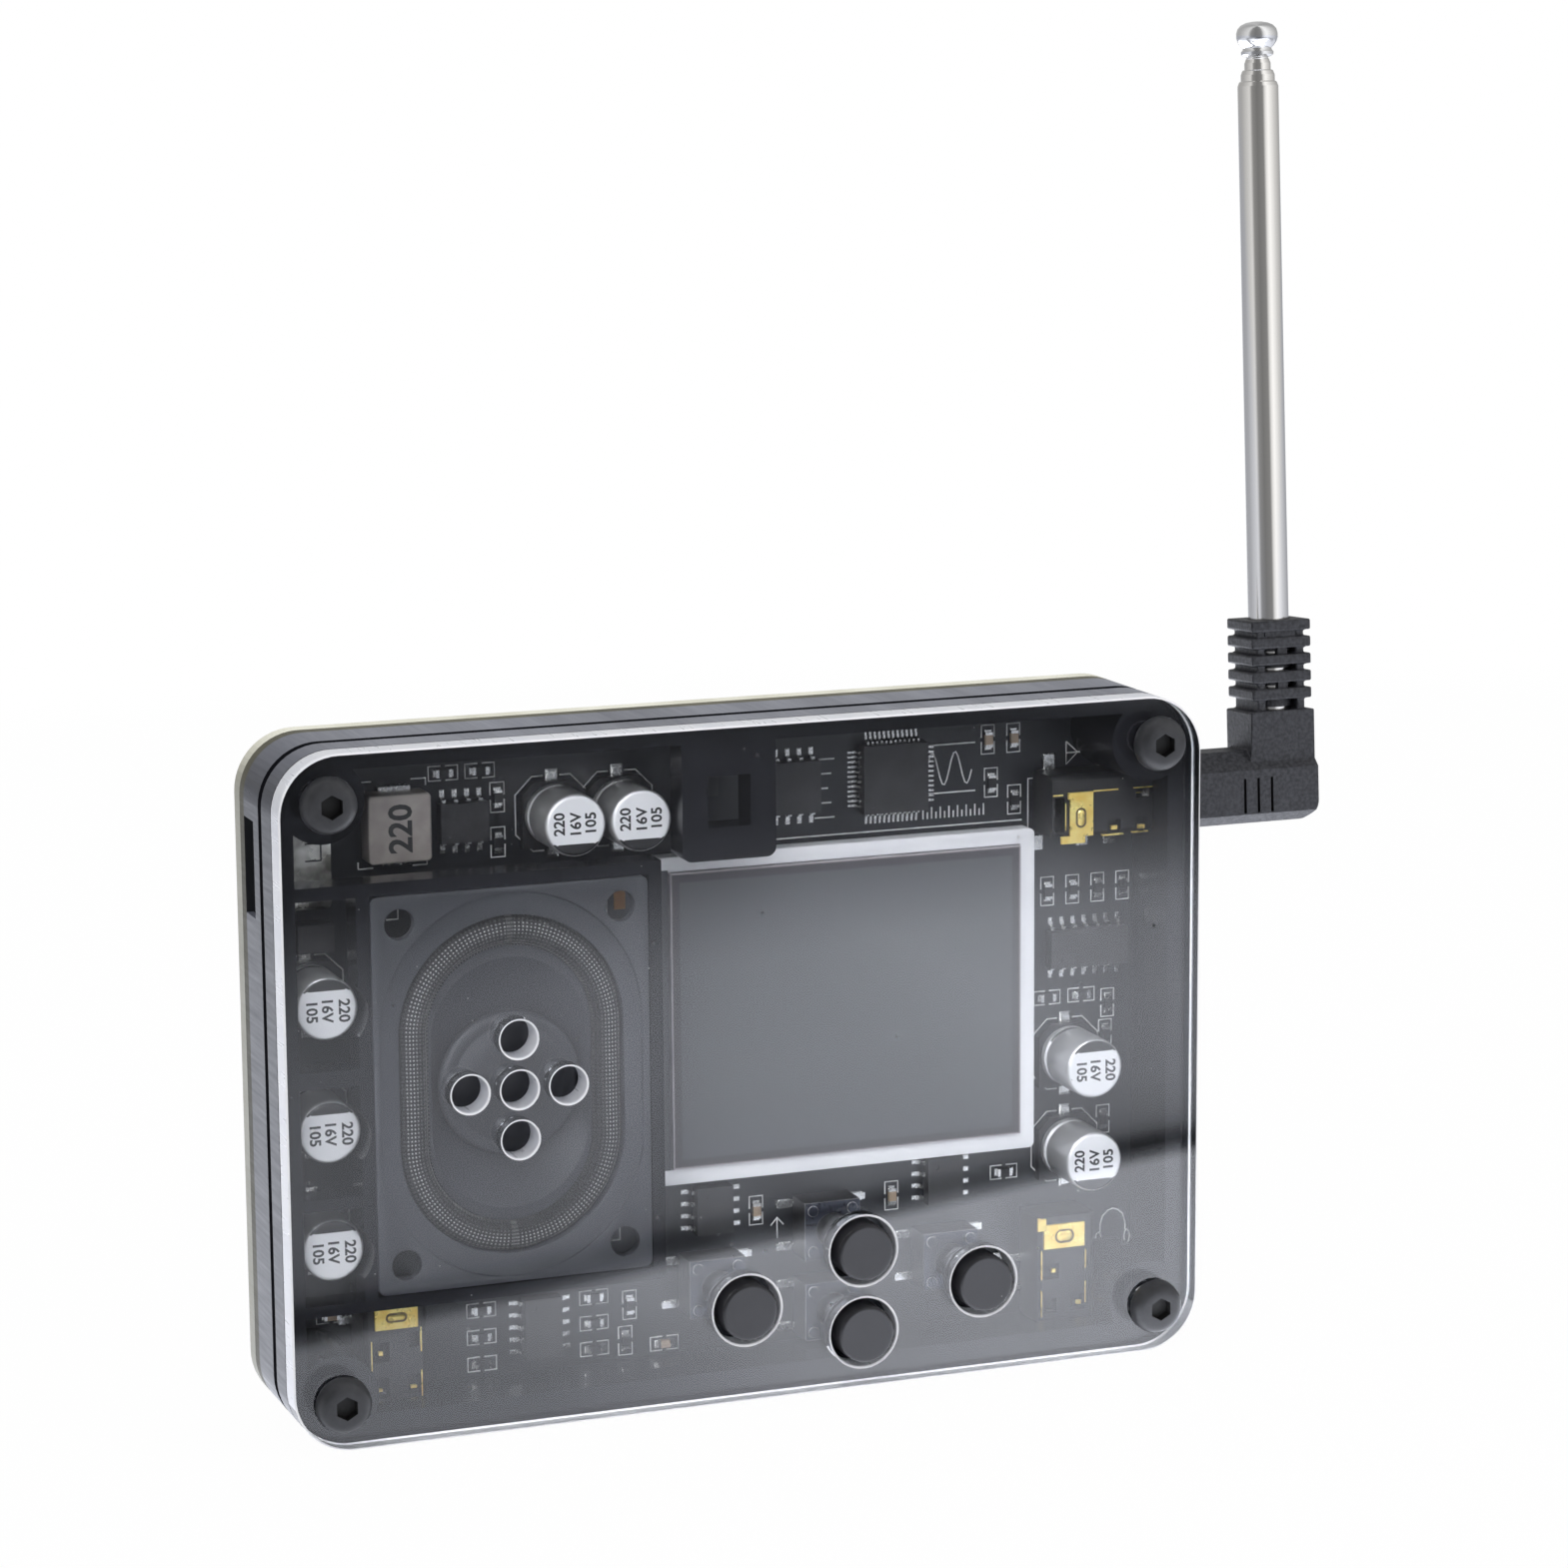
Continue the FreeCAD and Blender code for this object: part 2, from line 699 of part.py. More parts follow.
amplifier_up = size("amplifier_up", 6.6)
left_comparator_across = size("left_comparator_across", 11.95)
left_comparator_up = size("left_comparator_up", 3.45)
right_comparator_across = size("right_comparator_across", 13.4)
right_comparator_up = size("right_comparator_up", 2.9)
regulator_spot = (speaker_x - regulator_across, tray_top + regulator_up)
memory_spot = (tray_left + memory_across, tray_top + memory_up)
processor_spot = (tray_x + processor_across, tray_top + processor_up)
mixer_spot = (tray_right + (right_column - narrow_wall) / 2 + mixer_across, tray_z + mixer_up)
amplifier_spot = (speaker_x + amplifier_across, amplifier_up)
left_comparator_spot = (pair_button_x - left_comparator_across, tray_low - left_comparator_up)
right_comparator_spot = (pair_button_x + right_comparator_across, tray_low - right_comparator_up)
comparator_spots = [left_comparator_spot, right_comparator_spot]
part_length = size("part_length", 1.6)
part_width = size("part_width", 0.8)
part_thick = size("part_thick", 0.45)
part_end = size("part_end", 0.3)
diode_offset = size("diode_offset", 0.65)
diode_rise = size("diode_rise", 5.7)
diode_x = can_column_x + diode_offset
diode_z = can_upper_z + diode_rise
diode_width = size("diode_width", 3.6)
diode_height = size("diode_height", 2.8)
diode_thick = size("diode_thick", 2.0)
sensor_width = size("sensor_width", 4.4)
sensor_height = size("sensor_height", 2.4)
sensor_thick = size("sensor_thick", 1.0)

# ---------------------------------------------------------------- driving sizes: the plug and the aerial

aerial_reach = size("aerial_reach", 13.5)
aerial_x = half_width + aerial_reach
aerial_lean = size("aerial_lean", 3.9)
plug_gap = size("plug_gap", 0.2)
pin_length = size("pin_length", 12.2)
groove_from_tip = size("groove_from_tip", 3.4)
groove_depth = size("groove_depth", 0.45)
cone_from_tip = size("cone_from_tip", 1.4)
pin_end_radius = size("pin_end_radius", 0.5)
barrel_half = size("barrel_half", 3.75)
barrel_above = size("barrel_above", 4.0)
barrel_below = size("barrel_below", 3.5)
barrel_top_chamfer = size("barrel_top_chamfer", 1.9)
barrel_low_chamfer = size("barrel_low_chamfer", 1.0)
elbow_half = size("elbow_half", 3.65)
elbow_depth = size("elbow_depth", 6.0)
elbow_top = size("elbow_top", 8.0)
elbow_radius = size("elbow_radius", 2.0)
rib_width = size("rib_width", 6.8)
rib_depth = size("rib_depth", 5.9)
rib_thick = size("rib_thick", 1.1)
rib_pitch = size("rib_pitch", 1.78)
first_rib_rise = size("first_rib_rise", 9.2)
core_width = size("core_width", 5.4)
slot_width = size("slot_width", 3.6)
grip_depth = size("grip_depth", 0.35)
grip_pitch = size("grip_pitch", 1.45)
grip_width = size("grip_width", 0.3)
grip_offset = size("grip_offset", 0.25)
grip_low = size("grip_low", -2.3)
grip_high = size("grip_high", 1.3)
boot_fit = size("boot_fit", 0.02)
tube_radius = size("tube_radius", 2.1)
second_radius = size("second_radius", 1.75)
third_radius = size("third_radius", 1.35)
rod_radius = size("rod_radius", 1.1)
tube_gap = size("tube_gap", 0.05)
tube_foot = size("tube_foot", 1.0)
tube_top = size("tube_top", 72.9)
second_lip = size("second_lip", 1.15)
third_lip = size("third_lip", 1.2)
rod_neck = size("rod_neck", 0.35)
collar_radius = size("collar_radius", 1.7)
collar_height = size("collar_height", 0.8)
ball_radius = size("ball_radius", 2.15)
ball_height = size("ball_height", 2.6)
nest_step = size("nest_step", 1.0)
mouth_roll = size("mouth_roll", 0.5)
collar_edge = size("collar_edge", 0.15)


# ================================================================ the case, front to back

def layer(label, front, thick, inset=0, hole_gap=screw_clearance):
    """One sheet of the case: the outline with its four screw holes."""
    body = new_body(label)
    sketch = new_sketch(body)
    draw_rounded(sketch, -half_width + inset, half_width - inset, as_length(inset),
                 case_height - inset, corner_radius - inset)
    pad(body, sketch, thick)
    holes = new_sketch(body)
    for x, z in screw_spots:
        draw_circle(holes, x, z, screw_radius + hole_gap)
    pocket(body, holes)
    put(body, 0, front, 0)
    return keep(body)


def open_ring(body, left_wall, right_wall, low_wall, top_wall):
    """Open a sheet into a ring that keeps a round boss at each screw."""
    sketch = new_sketch(body)
    draw_corner_loop(sketch, -half_width + left_wall, half_width - right_wall, low_wall,
                     case_height - top_wall, screw_spots, boss_radius, -1)
    return sketch


front_plate = layer("front_plate", plate_front, front_plate_thick)
openings = new_sketch(front_plate)
for x, z in button_spots.values():
    draw_circle(openings, x, z, button_hole_radius)
for step_x, step_z in ((0, 0), (1, 0), (-1, 0), (0, 1), (0, -1)):
    draw_circle(openings, speaker_x + step_x * sound_hole_pitch,
                speaker_z + step_z * sound_hole_pitch, sound_hole_radius)
pocket(front_plate, openings)

# The front frame keeps a block round the speaker with a window for each capacitor of the left
# column, and a tab over the distance sensor. Its lower wall is relieved for the down button.
front_frame = layer("front_frame", plate_back, front_frame_thick)
pocket(front_frame, open_ring(front_frame, narrow_wall, wide_wall, wide_wall, narrow_wall))
block = new_sketch(front_frame)
draw_rectangle(block, -half_width + narrow_wall / 2, block_right, block_low, block_top)
pad(front_frame, block, front_frame_thick)
tab = new_sketch(front_frame)
draw_rounded(tab, tab_x - tab_width / 2, tab_x + tab_width / 2, tab_low,
             case_height - narrow_wall / 2, tab_radius)
pad(front_frame, tab, front_frame_thick)
speaker_cut = new_sketch(front_frame)
draw_rectangle(speaker_cut, speaker_x - flange_width / 2 - speaker_clearance,
               speaker_x + flange_width / 2 + speaker_clearance,
               speaker_z - flange_height / 2 - speaker_clearance,
               speaker_z + flange_height / 2 + speaker_clearance)
pocket(front_frame, speaker_cut)
windows = new_sketch(front_frame)
for low, high in left_windows:
    draw_rectangle(windows, -half_width + narrow_wall, block_left, low, high)
draw_rectangle(windows, tab_x - tab_window_width / 2, tab_x + tab_window_width / 2,
               tab_window_z - tab_window_height / 2, tab_window_z + tab_window_height / 2)
pocket(front_frame, windows)
reliefs = new_sketch(front_frame)
for x, z in can_spots[:3]:
    draw_circle(reliefs, x, z, can_radius + can_relief)
draw_circle(reliefs, pair_button_x, down_button_z, button_hole_radius + button_relief)
pocket(front_frame, reliefs)

middle_sheet = layer("middle_sheet", sheet_front, middle_sheet_thick, sheet_inset)
pocket(middle_sheet, open_ring(middle_sheet, narrow_wall, narrow_wall, narrow_wall, narrow_wall))

# The rear frame is notched from the board side for the connectors that reach its walls.
rear_frame = layer("rear_frame", rear_front, rear_frame_thick)
pocket(rear_frame, open_ring(rear_frame, narrow_wall, narrow_wall, narrow_wall, narrow_wall))
notch_front = rear_frame_thick - usb_height - usb_clearance
usb_notch = new_sketch(rear_frame, offset=-notch_front)
draw_rectangle(usb_notch, -half_width - PAST, -half_width + usb_length + usb_clearance,
               usb_z - usb_width / 2 - usb_clearance, usb_z + usb_width / 2 + usb_clearance)
pocket(rear_frame, usb_notch)
jack_body_half = jack_width / 2 + contact_thick + nose_clearance
jack_foot_half = jack_width / 2 + foot_length + nose_clearance


def notch_for_jacks(half, from_case_side, reach, offset=0):
    """Cut a slot of one width at each of the three jacks, measured in from the case's side."""
    sketch = new_sketch(rear_frame, offset=offset)
    for x in (headphone_x, line_jack_x):
        draw_rectangle(sketch, x - half, x + half, from_case_side, reach)
    draw_rectangle(sketch, half_width - reach, half_width - from_case_side,
                   antenna_jack_z - half, antenna_jack_z + half)
    pocket(rear_frame, sketch)


notch_for_jacks(nose_radius + nose_clearance, as_length(-PAST), narrow_wall + nose_clearance)
notch_for_jacks(jack_body_half, narrow_wall, jack_length + nose_clearance)
notch_for_jacks(jack_foot_half, narrow_wall, jack_length + nose_clearance,
                leg_thick + nose_clearance - rear_frame_thick)

main_board = layer("main_board", board_front, board_thick)
back_plate = layer("back_plate", board_back, back_plate_thick)

# Four button-head screws clamp the stack, with a hex nut on each at the back.
screw_length = case_depth + nut_height + screw_end
screw_pattern = turned("screw_pattern", [
    (0, -head_height), (crown_radius, -head_height), (shoulder_radius, -head_height * 0.7),
    (head_radius, -head_height * 0.3), (head_radius, 0), (screw_radius, 0),
    (screw_radius, screw_length), (0, screw_length)])
hex_socket = new_sketch(screw_pattern, "XY_Plane", -head_height)
draw_hexagon(hex_socket, socket_across)
pocket(screw_pattern, hex_socket, socket_depth, backwards=False)
keep(copies("case_screws", screw_pattern,
            [(x, plate_front, z, POINTING_BACK) for x, z in screw_spots]))

nut_pattern = new_body("nut_pattern")
nut_outline = new_sketch(nut_pattern, "XY_Plane")
draw_hexagon(nut_outline, nut_across)
pad(nut_pattern, nut_outline, nut_height, backwards=False)
nut_thread = new_sketch(nut_pattern, "XY_Plane")
draw_circle(nut_thread, 0, 0, screw_radius + thread_clearance)
pocket(nut_pattern, nut_thread, backwards=False)
keep(copies("case_nuts", nut_pattern,
            [(x, case_back, z, POINTING_BACK) for x, z in screw_spots]))

# ================================================================ the speaker
# A racetrack driver: a flange with an open tub behind it, a rolled surround, a coned
# diaphragm with its dust cap, and a voice coil in the gap of a cup magnet.

flange_back = plate_back + flange_thick
tub_width = roll_width + 2 * basket_wall
tub_height = roll_height + 2 * basket_wall


def oval_loft(body, kind, front, wide_oval, back, narrow_oval):
    """A tapering oval, added or cut, between two depths behind the body's own front."""
    near = new_sketch(body, offset=-front)
    draw_oval(near, *wide_oval)
    far = new_sketch(body, offset=-back)
    draw_oval(far, *narrow_oval)
    feature = body.newObject("PartDesign::" + kind, body.Label + "_loft")
    feature.Profile = near
    feature.Sections = [far]
    feature.Ruled = True
    return feature


basket = new_body("speaker_basket")
flange = new_sketch(basket)
draw_rounded(flange, -flange_width / 2, flange_width / 2, -flange_height / 2, flange_height / 2,
             flange_corner)
pad(basket, flange, flange_thick)
tub_end = flange_thick + basket_depth
oval_loft(basket, "AdditiveLoft", flange_thick, (tub_width, tub_height), tub_end,
          (tub_width - basket_taper, tub_height - 2 * basket_taper))
ledge_at = roll_setback + roll_thick
oval_loft(basket, "SubtractiveLoft", ledge_at,
          (roll_width - 2 * basket_ledge, roll_height - 2 * basket_ledge),
          tub_end - basket_floor,
          (roll_width - 2 * basket_ledge - basket_taper,
           roll_height - 2 * basket_ledge - 2 * basket_taper))
roll_seat = new_sketch(basket)
draw_oval(roll_seat, roll_width, roll_height)
pocket(basket, roll_seat, ledge_at)
rim = new_sketch(basket)
draw_oval(rim, rim_width, rim_height)
pocket(basket, rim, rim_depth)
screw_holes = new_sketch(basket)
for side in (-1, 1):
    for end in (-1, 1):
        draw_circle(screw_holes, side * (flange_width / 2 - flange_hole_inset),
                    end * (flange_height / 2 - flange_hole_inset), flange_hole_radius)
draw_circle(screw_holes, 0, 0, coil_radius + magnet_gap)
pocket(basket, screw_holes)
put(basket, speaker_x, plate_back, speaker_z)
keep(basket)

surround = new_body("speaker_surround")
roll = new_sketch(surround)
draw_oval(roll, roll_width - roll_clearance, roll_height - roll_clearance)
draw_oval(roll, roll_width - 2 * roll_band, roll_height - 2 * roll_band)
pad(surround, roll, roll_thick)
put(surround, speaker_x, plate_back + roll_setback, speaker_z)
soften(surround, "Fillet", roll_crown,
       lambda edge: abs(edge.BoundBox.YMax) < 1e-6 and abs(edge.BoundBox.YMin) < 1e-6)
keep(surround)

cone_width = roll_width - 2 * roll_band - roll_clearance
cone_height = roll_height - 2 * roll_band - roll_clearance
cone = new_body("speaker_cone")
coil_outer = 2 * (coil_radius + coil_skin)
neck_oval = (coil_outer, coil_outer + cone_neck_stretch)
oval_loft(cone, "AdditiveLoft", 0, (cone_width, cone_height), cone_depth, neck_oval)
oval_loft(cone, "SubtractiveLoft", -cone_skin, (cone_width, cone_height),
          cone_depth - cone_skin, neck_oval)
well = new_sketch(cone)
draw_circle(well, 0, 0, coil_radius)
pocket(cone, well)
cone_front = plate_back + roll_setback + roll_thick / 2
put(cone, speaker_x, cone_front, speaker_z)
keep(cone)

# The dust cap is a shallow dome with a flat skirt, glued to the cone.
cap_seat = cone_front + cap_setback
cap_profile = [
    (0, -cap_rise), (cap_radius * 0.35, -cap_rise * 0.93), (cap_radius * 0.65, -cap_rise * 0.7),
    (cap_radius * 0.85, -cap_rise * 0.38), (cap_radius, 0),
    (cap_radius - cap_skin, 0), (cap_radius * 0.62, cap_skin - cap_rise * 0.7),
    (cap_radius * 0.33, cap_skin - cap_rise * 0.93), (0, cap_skin - cap_rise)]
dust_cap = turned("speaker_dust_cap", cap_profile)
put(dust_cap, speaker_x, cap_seat, speaker_z, TO_BACK)
keep(dust_cap)

coil_front = cone_front + cone_depth
voice_coil = turned("voice_coil", [
    (coil_radius, 0), (coil_radius + coil_skin, 0), (coil_radius + coil_skin, coil_length),
    (coil_radius, coil_length)])
put(voice_coil, speaker_x, coil_front, speaker_z, TO_BACK)
keep(voice_coil)

yoke_front = plate_back + flange_thick + basket_depth
yoke_back = board_front - yoke_board_gap
yoke_length = yoke_back - yoke_front
cup_radius = coil_radius + coil_skin + magnet_gap
yoke = turned("speaker_yoke", [
    (0, yoke_length - yoke_wall), (cup_radius, yoke_length - yoke_wall), (cup_radius, 0),
    (yoke_radius, 0), (yoke_radius, yoke_length), (0, yoke_length)])
put(yoke, speaker_x, yoke_front, speaker_z, TO_BACK)
keep(yoke)

pole_radius = coil_radius - magnet_gap
pole_front = yoke_front + pole_setback
magnet_front = pole_front + pole_thick
magnet = cylinder("speaker_magnet", pole_radius - pole_overhang,
                  yoke_back - yoke_wall - magnet_front,
                  speaker_x, magnet_front, speaker_z, TO_BACK)
keep(magnet)
pole = cylinder("speaker_pole_plate", pole_radius, pole_thick,
                speaker_x, pole_front, speaker_z, TO_BACK)
keep(pole)

# ================================================================ the display


tray_back = board_front - pad_thick
tray_front = tray_back - tray_thick
glass_front = tray_front - glass_proud
tray = new_body("display_tray")
tray_outline = new_sketch(tray)
draw_rounded(tray_outline, -tray_width / 2, tray_width / 2, -tray_height / 2, tray_height / 2,
             tray_radius)
pad(tray, tray_outline, tray_thick)
glass_seat = new_sketch(tray)
seat_x = glass_x - tray_x
seat_z = glass_z - tray_z
draw_rectangle(glass_seat, seat_x - glass_width / 2 - glass_clearance,
               seat_x + glass_width / 2 + glass_clearance,
               seat_z - glass_height / 2 - glass_clearance,
               seat_z + glass_height / 2 + glass_clearance)
pocket(tray, glass_seat, glass_thick - glass_proud)
ledge = new_sketch(tray)
draw_rectangle(ledge, seat_x - glass_width / 2 - ledge_width,
               seat_x - glass_width / 2 - glass_clearance / 2,
               seat_z - glass_height / 2, seat_z + glass_height / 2)
pocket(tray, ledge, ledge_depth)
put(tray, tray_x, tray_front, tray_z)
keep(tray)

keep(box("display_glass", (glass_x - glass_width / 2, glass_x + glass_width / 2),
         (glass_front, glass_front + glass_thick),
         (glass_z - glass_height / 2, glass_z + glass_height / 2)))
driver_x = glass_x - glass_width / 2 - driver_width
keep(box("display_driver_chip", (driver_x - driver_width / 2, driver_x + driver_width / 2),
         (tray_front + ledge_depth - driver_thick, tray_front + ledge_depth),
         (glass_z - driver_height / 2, glass_z + driver_height / 2)))
keep(box("display_foam_pad",
         (tray_x - tray_width / 2 + pad_inset, tray_x + tray_width / 2 - pad_inset),
         (tray_back, board_front),
         (tray_z - tray_height / 2 + pad_inset, tray_z + tray_height / 2 - pad_inset)))

# ================================================================ the buttons
# Four push switches on the board, each with a plunger and a tall round cap through the plate.


well_radius = plunger_radius + plunger_clearance
cover_front = board_front - switch_base_height - switch_cover_thick
base_solid = box("switch_base_block", (-switch_width / 2, switch_width / 2),
                 (0, switch_base_height), (-switch_width / 2, switch_width / 2))
base_well = cylinder("switch_well", well_radius, switch_well_depth, turn=TO_BACK)
base_pattern = cut("switch_base_pattern", base_solid, base_well)
keep(copies("switch_bases", base_pattern,
            [(x, board_front - switch_base_height, z, FACING) for x, z in button_spots.values()]))

cover_sheet = box("switch_cover_sheet", (-switch_width / 2, switch_width / 2),
                  (0, switch_cover_thick), (-switch_width / 2, switch_width / 2))
rivets = []
for side in (-1, 1):
    for end in (-1, 1):
        corner = switch_width / 2 - rivet_inset
        rivets.append(cylinder("switch_rivet", rivet_radius, rivet_height + LAP, side * corner,
                               -rivet_height, end * corner, TO_BACK))
cover_with_rivets = fuse("switch_cover_riveted", [cover_sheet] + rivets)
cover_hole = cylinder("switch_cover_hole", well_radius, switch_cover_thick, turn=TO_BACK)
cover_pattern = cut("switch_cover_pattern", cover_with_rivets, cover_hole)
keep(copies("switch_covers", cover_pattern,
            [(x, cover_front, z, FACING) for x, z in button_spots.values()]))

leg_pattern = box("switch_leg_pattern", (0, leg_reach), (0, leg_thick), (0, leg_width))
leg_places = []
for x, z in button_spots.values():
    for end in (-1, 1):
        for start in (x + switch_width / 2, x - switch_width / 2 - leg_reach):
            leg_places.append((start, board_front - leg_thick,
                               z + end * leg_spacing / 2 - leg_width / 2, FACING))
keep(copies("switch_legs", leg_pattern, leg_places))

for name, (x, z) in button_spots.items():
    edge_radius = cap_button_radius - cap_edge
    cap = turned("button_" + name, [
        (0, 0), (edge_radius, 0), (cap_button_radius, cap_edge),
        (cap_button_radius, cap_button_length), (0, cap_button_length)])
    put(cap, x, plate_front - cap_proud, z, TO_BACK)
    keep(cap)
    cap_end = plate_front - cap_proud + cap_button_length
    plunger = cylinder("plunger_" + name, plunger_radius,
                       cover_front + plunger_engaged - cap_end, x, cap_end, z, TO_BACK)
    keep(plunger)

# ================================================================ jacks and sockets
# Three like jacks for 3.5 mm plugs. Each is a moulded block with a round nose that reaches the
# case's side, and a gilt spring strip over its front.


jack_block = new_body("jack_block")
block_outline = new_sketch(jack_block)
draw_rectangle(block_outline, -jack_width / 2, jack_width / 2, narrow_wall, jack_length)
pad(jack_block, block_outline, jack_height)
soften(jack_block, "Chamfer", jack_chamfer,
       lambda edge: edge.BoundBox.YMax < 1e-6 and edge.BoundBox.ZMax - edge.BoundBox.ZMin > 1)
nose = new_sketch(jack_block, "XY_Plane")
draw_circle(nose, 0, jack_height / 2, nose_radius)
pad(jack_block, nose, narrow_wall + LAP, backwards=False)
bore = new_sketch(jack_block, "XY_Plane")
draw_circle(bore, 0, jack_height / 2, jack_bore_radius)
pocket(jack_block, bore, jack_length - jack_end_wall, backwards=False)

jack_front = board_front - jack_height
headphone_jack = keep(copies("headphone_jack", jack_block,
                             [(headphone_x, jack_front, 0, FACING)]))
line_jack = keep(copies("line_jack", jack_block, [(line_jack_x, jack_front, 0, FACING)]))
SIDEWAYS = FreeCAD.Rotation(Y_AXIS, -90)
antenna_jack = keep(copies("antenna_jack", jack_block,
                           [(half_width, jack_front, antenna_jack_z, SIDEWAYS)]))

strip_low = jack_length - strip_from_end - strip_width
strip_high = jack_length - strip_from_end
strip = box("strip_top", (-jack_width / 2 - contact_thick, strip_reach),
            (-contact_thick, 0), (strip_low, strip_high))
fold = box("strip_fold", (-jack_width / 2 - contact_thick, -jack_width / 2),
           (-contact_thick, jack_height), (strip_low, strip_high))
contact_pattern = fuse("contact_pattern", [strip, fold])
foot_pattern = box("foot_pattern", (0, foot_length), (0, leg_thick), (0, foot_width))
doc.recompute()


def jack_metal(x, z, rotation):
    """The gilt strip of one jack with four tinned feet, all seated on the block and board."""
    origin = FreeCAD.Vector(x.number, jack_front.number, as_length(z).number)
    place = FreeCAD.Placement(origin, rotation)
    strip_shape = contact_pattern.Shape.copy()
    strip_shape.Placement = place
    shapes = [strip_shape]
    right_start = jack_width / 2
    left_start = -jack_width / 2 - foot_length
    for start, level in ((right_start, near_foot), (right_start, far_foot),
                         (left_start, near_left_foot), (left_start, far_left_foot)):
        spot = FreeCAD.Vector(start.number, (jack_height - leg_thick).number,
                              (level - foot_width / 2).number)
        tab = foot_pattern.Shape.copy()
        tab.Placement = place.multiply(FreeCAD.Placement(spot, FACING))
        shapes.append(tab)
    return shapes


contacts = []
for x, z, rotation in ((headphone_x, 0, FACING), (line_jack_x, 0, FACING),
                       (half_width, antenna_jack_z, SIDEWAYS)):
    contacts += jack_metal(x, z, rotation)
jack_contacts = doc.addObject("Part::Feature", "jack_contacts")
jack_contacts.Shape = Part.makeCompound(contacts)
keep(jack_contacts, "jack_contacts")

# The charging and data socket: a drawn steel shell with a tongue inside, at the left wall.
usb_shell = new_body("usb_socket")
shell_outline = new_sketch(usb_shell, "YZ_Plane")
shell_round = usb_height / 2 - usb_side_flat / 2
draw_rounded(shell_outline, -usb_height / 2, usb_height / 2, -usb_width / 2, usb_width / 2,
             shell_round)
draw_rounded(shell_outline, -usb_height / 2 + usb_skin, usb_height / 2 - usb_skin,
             -usb_width / 2 + usb_skin, usb_width / 2 - usb_skin, shell_round - usb_skin)
pad(usb_shell, shell_outline, usb_length, backwards=False)
shell_back = new_sketch(usb_shell, "YZ_Plane", usb_length - usb_skin)
draw_rounded(shell_back, -usb_height / 2, usb_height / 2, -usb_width / 2, usb_width / 2,
             shell_round)
pad(usb_shell, shell_back, usb_skin, backwards=False)
put(usb_shell, -half_width + usb_setback, board_front - usb_height / 2, usb_z)
keep(usb_shell)
tongue_middle = board_front - usb_height / 2
keep(box("usb_tongue",
         (-half_width + tongue_setback, -half_width + usb_setback + usb_length - usb_skin),
         (tongue_middle - tongue_thick / 2, tongue_middle + tongue_thick / 2),
         (usb_z - tongue_width / 2, usb_z + tongue_width / 2)))

# ================================================================ parts on the board

# Aluminium can capacitors, each crimped at its waist and seated on a plastic base.
crimp = can_base_height + crimp_rise
can_pattern = turned("can_pattern", [
    (0, can_base_height), (can_radius, can_base_height), (can_radius, crimp),
    (can_radius - can_waist, crimp + can_edge), (can_radius, crimp + 2 * can_edge),
    (can_radius, can_height - can_edge), (can_radius - can_edge, can_height), (0, can_height)])
TO_FRONT = FreeCAD.Rotation(X_AXIS, 90)
keep(copies("capacitor_cans", can_pattern, [(x, board_front, z, TO_FRONT) for x, z in can_spots]))
half_base = can_base / 2
base_cut = half_base - can_base_chamfer
can_base_pattern = new_body("can_base_pattern")
can_base_outline = new_sketch(can_base_pattern)
draw_polygon(can_base_outline, [
    (-half_base, -half_base), (half_base, -half_base), (half_base, base_cut),
    (base_cut, half_base), (-base_cut, half_base), (-half_base, base_cut)])
pad(can_base_pattern, can_base_outline, can_base_height, backwards=False)
keep(copies("capacitor_bases", can_base_pattern,
            [(x, board_front, z, FACING) for x, z in can_spots]))
can_tab_pattern = box("can_tab_pattern", (0, tab_span), (0, leg_thick), (0, tab_length))
keep(copies("capacitor_tabs", can_tab_pattern,
            [(x - tab_span / 2, board_front - leg_thick, low, FACING) for x, z in can_spots
             for low in (z + half_base, z - half_base - tab_length)]))

# The power inductor, a pressed iron block with tinned ends that fold under it.
inductor = new_body("power_inductor")
inductor_outline = new_sketch(inductor)
draw_rounded(inductor_outline, -inductor_width / 2, inductor_width / 2, -inductor_height / 2,
             inductor_height / 2, inductor_radius)
pad(inductor, inductor_outline, inductor_thick, backwards=False)
put(inductor, inductor_x, board_front, inductor_z)
keep(inductor)
end_low = inductor_z - inductor_height / 2
end_high = inductor_z + inductor_height / 2
end_caps = [box("inductor_end", (inductor_x - end_span / 2, inductor_x + end_span / 2),
                (board_front - end_rise, board_front), span)
            for span in ((end_high, end_high + end_thick), (end_low - end_thick, end_low))]
inductor_ends = doc.addObject("Part::Compound", "inductor_ends")
inductor_ends.Links = end_caps
keep(inductor_ends, "inductor_ends")

# Moulded chips. Each sits a little off the board on gull-wing leads.


def lead_body(label, width, rise):
    """A gull-wing lead: out from the chip, down to the board and out along it."""
    body = new_body(label)
    sketch = new_sketch(body, "XY_Plane", -width / 2)
    outer = shoulder + foot
    draw_polygon(sketch, [
        (0, -rise), (shoulder, -rise), (shoulder + lead_thick, -lead_thick), (outer, -lead_thick),
        (outer, 0), (shoulder, 0), (shoulder - lead_thick, -rise + lead_thick),
        (0, -rise + lead_thick)])
    pad(body, sketch, width, backwards=False)
    return body


soic_lead = lead_body("soic_lead_pattern", lead_width, lead_rise)
fine_lead = lead_body("fine_lead_pattern", fine_lead_width, lead_rise)
leads = []


